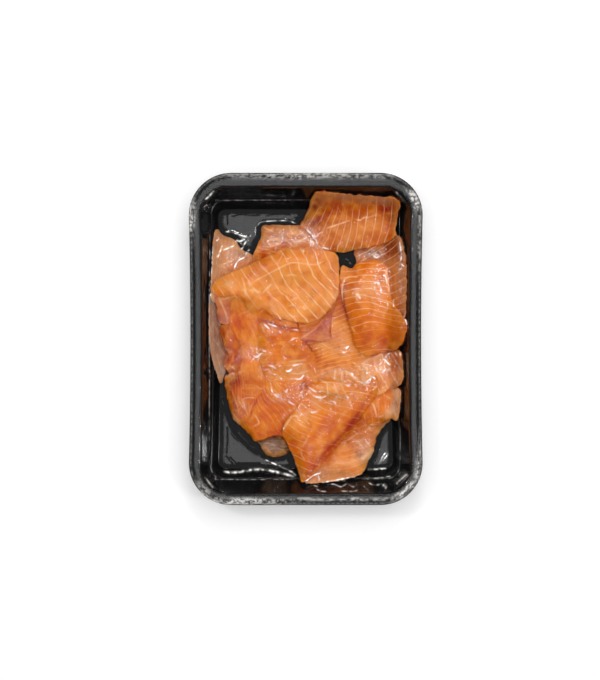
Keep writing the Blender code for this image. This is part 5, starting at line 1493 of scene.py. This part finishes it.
def film_heights(heap):
    """The film drawn down over the heap and the tray."""
    over = np.maximum(heap, tray_heights(*field.flat()).reshape(heap.shape))
    sheet = draped(over, 22)
    sheet = np.maximum(blurred(sheet, 0.5), over)
    return blurred(sheet, 0.35)


def film_shine(x, y, sheet, heap):
    """How much of its mirror the film keeps, and how much it ripples."""
    ground = tray_heights(x, y)
    slope = np.hypot(*np.gradient(sheet, CELL))
    level = smoothstep(0.14, 0.05, field.at(slope, x, y))
    food = smoothstep(1.0, 3.0, field.at(heap, x, y) - ground)
    lip = smoothstep(2.9, 2.3, -loop_distance(x, y, (0.0, 0.0, OUTER_RADIUS, 0.0, 0.0, 0.0)))
    return np.where(food > 0.5, 0.3, 1.5 * level * (1 - 0.93 * lip)), 0.1 + 0.7 * food


def make_film(heap):
    outline = tray_loop((0.5, 0.5, OUTER_RADIUS - 0.5, LAND_Z, 0.0, 0.0), 30, 90, 140)[:, :2]
    turn = np.arange(len(outline))
    frayed = 0.45 * noise(outline[:, 0], outline[:, 1], 5.0, 71) + 0.3 * np.where(turn % 2, 1, -1)
    outline = outline + sideways(outline, True) * frayed[:, None] * 0.7
    creases = crease_lines()
    rows = [rows_beside(line, (0, 0.2, -0.2, 0.45, -0.45, 0.9, -0.9)) for *_, line in creases]
    margin = [rows_beside(outline, [reach], True) for reach in (0.5, 1.1, 1.8, 2.6)]
    drawn = np.unique(np.round(np.concatenate(rows + margin), 1), axis=0)
    drawn = drawn[inside(drawn[:, 0], drawn[:, 1], outline)]
    fine = thinned(drawn, honeycomb(outline, 1.0), 0.4)
    fine = fine[inside(fine[:, 0], fine[:, 1], outline)]
    fine = fine[distance_to(fine[:, 0], fine[:, 1], outline, True)[0] > 0.15]
    plan, faces = triangulated(outline, fine)
    x, y = plan.T
    sheet = film_heights(heap)
    z = field.at(sheet, x, y) + 0.22
    painted_glint = np.zeros(len(x))
    fold = np.zeros(len(x))
    for rise, width, cloud, line in creases:
        gap, along = distance_to(x, y, line, False)
        ends = smoothstep(0, 0.12, along) * smoothstep(1, 0.88, along)
        form = np.exp(-((gap / width) ** 2))
        z += 0.55 * rise * ends * form * (cloud > 0)
        fold = np.maximum(fold, form * ends * (cloud == 0))
        patchy = np.clip(0.62 + 1.2 * noise(x, y, 1.5, 70), 0.08, 1.5)
        painted_glint = np.maximum(painted_glint, 1.3 * cloud * patchy * ends * np.exp(-((gap / (0.55 * width)) ** 2)))
    rim = -loop_distance(x, y, (0.0, 0.0, OUTER_RADIUS, 0.0, 0.0, 0.0))
    loose = smoothstep(3.0, 1.2, rim)
    around = np.where(np.abs(y) > LENGTH / 2 - 12, x, y)
    torn = np.clip(spots(x, y, RUFFLES), 0, 1)
    crinkle = np.abs(noise(around, 3 * rim, 2.4, 72)) + 0.5 * noise(x, y, 2.3, 73)
    z = np.where(rim < 6.9, np.maximum(z, LAND_Z + 0.12), z) + loose * (0.06 + 0.34 * torn) * crinkle
    ticks = 0.5 + 0.5 * np.sin(2 * math.pi * around / TICK)
    creased = smoothstep(0.2, 0.6, np.abs(noise(around, 4 * rim, 2.6, 74))) + 0.2 * ticks
    ruffle = spots(x, y, RUFFLES) * creased * smoothstep(5.5, 4.0, rim)
    thread = 0.12 * ticks * np.exp(-(((rim - 1.2) / 0.35) ** 2))
    # Painted glints: white marks that stand in for the film's reflections, along creases, over the ruffled
    # margin and along the gripper's ticks.
    painted_glint = np.maximum.reduce((painted_glint, 0.17 * ruffle, loose * thread))
    made = plain_mesh("skin_film", np.column_stack((x, y, z)), faces)
    attribute(made.data, "painted_glint", painted_glint)
    shine, ripple = film_shine(x, y, sheet, heap)
    shine *= 1 - np.clip(2 * fold, 0, 1)
    attribute(made.data, "shine", shine)
    attribute(made.data, "ripple", ripple)
    trimmed = smoothstep(0.5, 1.5, field.at(heap, x, y) - tray_heights(x, y))
    attribute(made.data, "wrinkled", spots(x, y, PUCKERS) * trimmed)
    gauge = made.modifiers.new("thickness", "SOLIDIFY")
    gauge.thickness = 0.06 * MM
    gauge.offset = -1.0
    return settled(made)


# ---------------------------------------------------------------- materials


def node(tree, kind, inputs=None, **settings):
    """A node with its settings, and with its inputs set or linked."""
    made = tree.nodes.new(kind)
    for key, value in settings.items():
        setattr(made, key, value)
    for key, value in (inputs or {}).items():
        if isinstance(value, bpy.types.NodeSocket):
            tree.links.new(value, made.inputs[key])
        else:
            made.inputs[key].default_value = value
    return made


def maths(tree, operation, first, second=0.0):
    return node(tree, "ShaderNodeMath", {0: first, 1: second}, operation=operation).outputs[0]


def ranged(tree, value, low, high, to_low=0.0, to_high=1.0):
    inputs = {"Value": value, "From Min": low, "From Max": high, "To Min": to_low, "To Max": to_high}
    return node(tree, "ShaderNodeMapRange", inputs, interpolation_type="SMOOTHSTEP").outputs[0]


def object_noise(tree, scale, detail=2.0, roughness=0.5, distortion=0.0):
    place = node(tree, "ShaderNodeTexCoord").outputs["Object"]
    inputs = {"Vector": place, "Scale": scale, "Detail": detail}
    inputs.update({"Roughness": roughness, "Distortion": distortion})
    return node(tree, "ShaderNodeTexNoise", inputs).outputs["Fac"]


def new_group(name, inputs, outputs):
    """A node group with float inputs and outputs, and its two end nodes."""
    group = bpy.data.node_groups.new(name, "ShaderNodeTree")
    for label, value in inputs:
        socket = group.interface.new_socket(label, in_out="INPUT", socket_type="NodeSocketFloat")
        socket.default_value = value
    for label in outputs:
        group.interface.new_socket(label, in_out="OUTPUT", socket_type="NodeSocketFloat")
    return group, group.nodes.new("NodeGroupInput"), group.nodes.new("NodeGroupOutput")


def septa_group():
    """Pale lines at whole row numbers, broken here and there, and the swell of the muscle between them."""
    group, given, out = new_group("septa_rows", (("Wander", 0.15), ("Break", 0.4)), ("Line", "Swell"))
    row = node(group, "ShaderNodeAttribute", attribute_name="septa").outputs["Fac"]
    strength = node(group, "ShaderNodeAttribute", attribute_name="septa_strength").outputs["Fac"]
    width = node(group, "ShaderNodeAttribute", attribute_name="septa_width").outputs["Fac"]
    sway = maths(group, "SUBTRACT", object_noise(group, 220, 3.0), 0.5)
    swayed = maths(group, "ADD", row, maths(group, "MULTIPLY", sway, given.outputs["Wander"]))
    apart = maths(group, "MULTIPLY", maths(group, "PINGPONG", swayed, 0.5), 2.0)
    line = ranged(group, maths(group, "DIVIDE", apart, width), 0.0, 0.75, 1.0, 0.0)
    worn = ranged(group, object_noise(group, 420, 2.0), 0.36, 0.55)
    kept = maths(group, "ADD", maths(group, "MULTIPLY", worn, given.outputs["Break"]), 1.0)
    kept = maths(group, "SUBTRACT", kept, given.outputs["Break"])
    shown = maths(group, "MULTIPLY", maths(group, "MULTIPLY", line, strength), kept)
    group.links.new(shown, out.inputs["Line"])
    swell = maths(group, "MULTIPLY", ranged(group, apart, 0.0, 0.8), strength)
    group.links.new(swell, out.inputs["Swell"])
    return group


def grain_group():
    """Fine streaks and specks of flesh: a brightness and a height."""
    group, given, out = new_group("flesh_grain", (("Amount", 0.12),), ("Tone", "Height"))
    row = node(group, "ShaderNodeAttribute", attribute_name="septa").outputs["Fac"]
    place = node(group, "ShaderNodeTexCoord").outputs["Object"]
    slow = node(group, "ShaderNodeVectorMath", {0: place, 1: (90, 90, 90)}, operation="MULTIPLY").outputs[0]
    rows = node(group, "ShaderNodeCombineXYZ", {"X": maths(group, "MULTIPLY", row, 5.0)}).outputs[0]
    along = node(group, "ShaderNodeVectorMath", {0: slow, 1: rows}, operation="ADD").outputs[0]
    streaks = node(group, "ShaderNodeTexNoise", {"Vector": along, "Scale": 1.0, "Detail": 3.0})
    coarse = object_noise(group, 500, 4.0, 0.6, 0.6)
    both = maths(group, "MULTIPLY", maths(group, "ADD", coarse, streaks.outputs["Fac"]), 0.5)
    offset = maths(group, "MULTIPLY", maths(group, "SUBTRACT", both, 0.5), given.outputs["Amount"])
    group.links.new(maths(group, "ADD", maths(group, "MULTIPLY", offset, 2.0), 1.0), out.inputs["Tone"])
    group.links.new(both, out.inputs["Height"])
    return group


def fresh_material(name):
    made = bpy.data.materials.new(name)
    made.use_nodes = True
    tree = made.node_tree
    return made, tree, tree.nodes["Principled BSDF"], tree.nodes["Material Output"]


def thread_group():
    """Fine winding threads, broken here and there."""
    group, given, out = new_group("fine_threads", (("Amount", 0.3),), ("Thread",))
    level = object_noise(group, 170, 3.0, 0.55, 1.0)
    off = maths(group, "ABSOLUTE", maths(group, "SUBTRACT", level, 0.5))
    line = ranged(group, off, 0.0, 0.016, 1.0, 0.0)
    worn = ranged(group, object_noise(group, 190, 2.0), 0.45, 0.62)
    shown = maths(group, "MULTIPLY", maths(group, "MULTIPLY", line, worn), given.outputs["Amount"])
    group.links.new(shown, out.inputs["Thread"])
    return group


def flesh_material(name, groups, roughness, scatter, line_colour, grain, threads):
    """Wet fish flesh: its painted colour, pale septa, grain, and light that soaks in a little."""
    made, tree, shader, _ = fresh_material(name)
    rows = node(tree, "ShaderNodeGroup", node_tree=groups["septa"])
    rows.inputs["Wander"].default_value = 0.3
    rows.inputs["Break"].default_value = 0.45
    speckle = node(tree, "ShaderNodeGroup", node_tree=groups["grain"])
    speckle.inputs["Amount"].default_value = grain
    flesh = node(tree, "ShaderNodeAttribute", attribute_name="flesh").outputs["Color"]
    winding = node(tree, "ShaderNodeGroup", node_tree=groups["threads"])
    winding.inputs["Amount"].default_value = threads
    share = maths(tree, "MULTIPLY", rows.outputs["Line"], 0.95)
    share = maths(tree, "MAXIMUM", share, winding.outputs["Thread"])
    colour = {"Factor": share, "A": flesh, "B": (*linear(line_colour), 1.0)}
    mixed = colour_mix(tree, colour)
    toned = node(tree, "ShaderNodeHueSaturation", {"Color": mixed, "Value": speckle.outputs["Tone"]})
    tree.links.new(toned.outputs["Color"], shader.inputs["Base Color"])
    swell = maths(tree, "MULTIPLY", rows.outputs["Swell"], 0.5)
    height = maths(tree, "ADD", swell, speckle.outputs["Height"])
    bump = node(tree, "ShaderNodeBump", {"Height": height, "Strength": 0.35, "Distance": 0.0004})
    tree.links.new(bump.outputs["Normal"], shader.inputs["Normal"])
    shader.inputs["Roughness"].default_value = roughness
    shader.inputs["IOR"].default_value = 1.4
    shader.inputs["Subsurface Weight"].default_value = scatter
    shader.inputs["Subsurface Radius"].default_value = (1.0, 0.4, 0.2)
    shader.inputs["Subsurface Scale"].default_value = 0.0009
    shader.inputs["Specular IOR Level"].default_value = 0.15
    return made


def colour_mix(tree, inputs):
    """A colour mix: Factor, A and B."""
    made = tree.nodes.new("ShaderNodeMix")
    made.data_type = "RGBA"
    sockets = {"Factor": made.inputs[0], "A": made.inputs[6], "B": made.inputs[7]}
    for key, value in inputs.items():
        if isinstance(value, bpy.types.NodeSocket):
            tree.links.new(value, sockets[key])
        else:
            sockets[key].default_value = value
    return made.outputs[2]


def tray_material():
    """Black glossy formed plastic with patchy gloss and flow marks."""
    made, tree, shader, _ = fresh_material("black_formed_plastic")
    cloud = object_noise(tree, 60, 3.0)
    shader.inputs["Base Color"].default_value = (0.006, 0.006, 0.0065, 1.0)
    shader.inputs["Specular IOR Level"].default_value = 0.22
    tree.links.new(ranged(tree, cloud, 0.3, 0.7, 0.06, 0.12), shader.inputs["Roughness"])
    swell = object_noise(tree, 90, 1.0)
    bump = node(tree, "ShaderNodeBump", {"Height": swell, "Strength": 0.1, "Distance": 0.0004})
    tree.links.new(bump.outputs["Normal"], shader.inputs["Normal"])
    return made


def film_material():
    """Clear skin film: it mirrors at its own Fresnel share, and carries painted glints, white and glowing
    faintly of their own, along folds and puckers.
    """
    made, tree, mirror, out = fresh_material("clear_skin_film")
    painted_glint, shine, rippled, wrinkled = (
        node(tree, "ShaderNodeAttribute", attribute_name=name).outputs["Fac"]
        for name in ("painted_glint", "shine", "ripple", "wrinkled")
    )
    swell = object_noise(tree, 300, 2.0, 0.5, 1.2)
    wave = object_noise(tree, 800, 2.0, 0.5, 0.8)
    height = maths(tree, "ADD", swell, maths(tree, "MULTIPLY", wave, 0.35))
    depth = maths(tree, "ADD", rippled, maths(tree, "MULTIPLY", wrinkled, 0.8))
    height = maths(tree, "MULTIPLY", height, depth)
    bump = node(tree, "ShaderNodeBump", {"Height": height, "Strength": 0.5, "Distance": 0.001})
    fresnel = node(tree, "ShaderNodeFresnel", {"IOR": 1.5}).outputs[0]
    mirror.inputs["Base Color"].default_value = (0.95, 0.96, 0.98, 1.0)
    mirror.inputs["Metallic"].default_value = 1.0
    mirror.inputs["Roughness"].default_value = 0.08
    tree.links.new(bump.outputs["Normal"], mirror.inputs["Normal"])
    lively = maths(tree, "ADD", maths(tree, "MULTIPLY", wrinkled, 3.2), 1.0)
    kept = maths(tree, "MULTIPLY", maths(tree, "MULTIPLY", fresnel, shine), lively)
    kept = maths(tree, "MINIMUM", kept, 0.08)
    tree.links.new(kept, mirror.inputs["Alpha"])

    # Painted glints: winding white threads where the film puckers.
    pucker = object_noise(tree, 330, 2.5, 0.55, 1.6)
    off = maths(tree, "ABSOLUTE", maths(tree, "SUBTRACT", pucker, 0.5))
    thread = ranged(tree, off, 0.0, 0.022, 1.0, 0.0)
    worn = ranged(tree, object_noise(tree, 420, 1.0), 0.42, 0.6)
    thread = maths(tree, "MULTIPLY", maths(tree, "MULTIPLY", thread, worn), wrinkled)
    thread = maths(tree, "MULTIPLY", thread, 0.7)
    cloud = maths(tree, "MAXIMUM", maths(tree, "MULTIPLY", painted_glint, 0.95), thread)
    # The painted glints' white surface, which also glows faintly of itself.
    white = node(tree, "ShaderNodeBsdfPrincipled", {"Base Color": (1.0, 0.97, 0.93, 1.0), "Roughness": 0.3})
    white.inputs["Emission Color"].default_value = (1.0, 0.97, 0.93, 1.0)
    white.inputs["Emission Strength"].default_value = 0.3
    inputs = {0: cloud, 1: mirror.outputs[0], 2: white.outputs[0]}
    both = node(tree, "ShaderNodeMixShader", inputs)
    tree.links.new(both.outputs[0], out.inputs["Surface"])
    return made


# ---------------------------------------------------------------- stage


def area_light(name, place, target, size, power, colour=(1, 1, 1)):
    data = bpy.data.lights.new(name, "AREA")
    data.shape = "RECTANGLE"
    data.size, data.size_y = size
    data.energy = power
    data.color = colour
    made = bpy.data.objects.new(name, data)
    made.location = place
    made.rotation_euler = (Vector(target) - Vector(place)).to_track_quat("-Z", "Y").to_euler()
    bpy.context.scene.collection.objects.link(made)
    return made


def make_world():
    """A pale studio: bright overhead, dim towards the horizon, and white to the camera itself."""
    world = bpy.data.worlds.new("studio")
    world.use_nodes = True
    tree = world.node_tree
    background = tree.nodes["Background"]
    place = node(tree, "ShaderNodeTexCoord").outputs["Generated"]
    height = node(tree, "ShaderNodeSeparateXYZ", {0: place}).outputs["Z"]
    glow = ranged(tree, height, 0.35, 0.85, 0.05, 0.64)
    seen = node(tree, "ShaderNodeLightPath").outputs["Is Camera Ray"]
    level = maths(tree, "ADD", glow, maths(tree, "MULTIPLY", seen, 1.0))
    tree.links.new(level, background.inputs["Strength"])
    background.inputs["Color"].default_value = (1, 1, 1, 1)
    bpy.context.scene.world = world


def make_stage():
    far = 3000
    corners = [(-far, -far, 0), (far, -far, 0), (far, far, 0), (-far, far, 0)]
    floor = plain_mesh("floor", corners, [(0, 1, 2, 3)])
    made, tree, shader, _ = fresh_material("white_table")
    shader.inputs["Base Color"].default_value = (0.86, 0.86, 0.86, 1)
    shader.inputs["Roughness"].default_value = 0.6
    shader.inputs["Emission Color"].default_value = (1, 1, 1, 1)
    shader.inputs["Emission Strength"].default_value = 0.22
    floor.data.materials.append(made)
    make_world()
    soft = area_light("softbox", (0.1, 0.25, 1.1), (0, 0, 0), (0.8, 0.8), 5.0)
    soft.visible_glossy = False
    area_light("left_window", (-0.4, 0.2, 0.85), (0, 0, 0), (0.07, 0.2), 1.3)
    area_light("right_window", (0.45, -0.15, 0.8), (0, 0, 0), (0.06, 0.2), 1.0)
    area_light("back_window", (0.05, 0.5, 0.75), (0, 0, 0), (0.2, 0.06), 1.0)
    bpy.context.scene.view_settings.view_transform = "Standard"


def make_camera():
    """Straight down from 0.9 m above the tray's flange."""
    data = bpy.data.cameras.new("camera")
    data.lens = 81.0
    data.sensor_width = 36.0
    made = bpy.data.objects.new("camera", data)
    made.location = (-0.0034, -0.0006, 0.928)
    bpy.context.scene.collection.objects.link(made)
    bpy.context.scene.camera = made


# ---------------------------------------------------------------- the pack


def main():
    make_camera()
    make_stage()
    groups = {"septa": septa_group(), "grain": grain_group(), "threads": thread_group()}
    finishes = {
        "orange_flesh": flesh_material("orange_flesh_finish", groups, 0.3, 0.45, "cream", 0.16, 0.25),
        "pale_flesh": flesh_material("pale_flesh_finish", groups, 0.3, 0.45, "cream", 0.22, 0.6),
        "rose_flesh": flesh_material("rose_flesh_finish", groups, 0.28, 0.45, "peach", 0.18, 0.4),
        "brown_flesh": flesh_material("brown_flesh_finish", groups, 0.4, 0.3, "fat", 0.3, 0.6),
        "fat": flesh_material("fat_finish", groups, 0.3, 0.4, "cream", 0.2, 0.5),
    }
    tray = make_tray()
    tray.data.materials.append(tray_material())
    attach(tray, "root")
    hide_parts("tray")

    heap = tray_heights(*field.flat()).reshape(field.grid_x.shape)
    laid = []
    for index, (name, given) in enumerate(TRIMMINGS.items()):
        spec = {"septa": (), "strokes": (), **given, **dict(zip(FORM, given["form"]))}
        piece, points, edge, heap = make_trimming(name, spec, heap, 100 * index)
        laid.append((piece, points, edge, spec, 100 * index))
        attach(piece, "root")
        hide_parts(name)
    middle, left = pressed(heap)
    tray_z = tray_heights(*field.flat()).reshape(heap.shape)
    heap = np.where(heap > tray_z + 0.3, capped(middle + left * (heap - middle)), heap)
    hollow = blurred(heap, 2.0) - heap
    for piece, points, edge, spec, seed in laid:
        x, y = points[:, 0], points[:, 1]
        points[:, 2] = squeezed(x, y, points[:, 2], middle, left)
        piece.data.vertices.foreach_set("co", (points * MM).ravel())
        piece.data.update()
        colour = painted(x, y, edge, spec, seed)
        depth = field.at(hollow, x, y)
        # Painted shade: the flesh darkens in the heap's hollows and creases. Painted highlight: it lightens
        # towards glow where the heap rises.
        crease_shade = 0.6 * smoothstep(0.05, 0.9, depth) * (1 - 0.7 * spots(x, y, MELDS))
        colour += (colour * (0.75, 0.42, 0.3) - colour) * crease_shade[:, None]
        colour += (linear("glow") - colour) * (0.22 * smoothstep(0.1, 0.6, -depth))[:, None]
        colour_attribute(piece.data, "flesh", np.clip(colour - VEIL, 0.002, 1))
        piece.data.materials.append(finishes[spec["finish"]])

    film = make_film(heap)
    film.data.materials.append(film_material())
    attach(film, "root")
    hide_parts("film")


main()
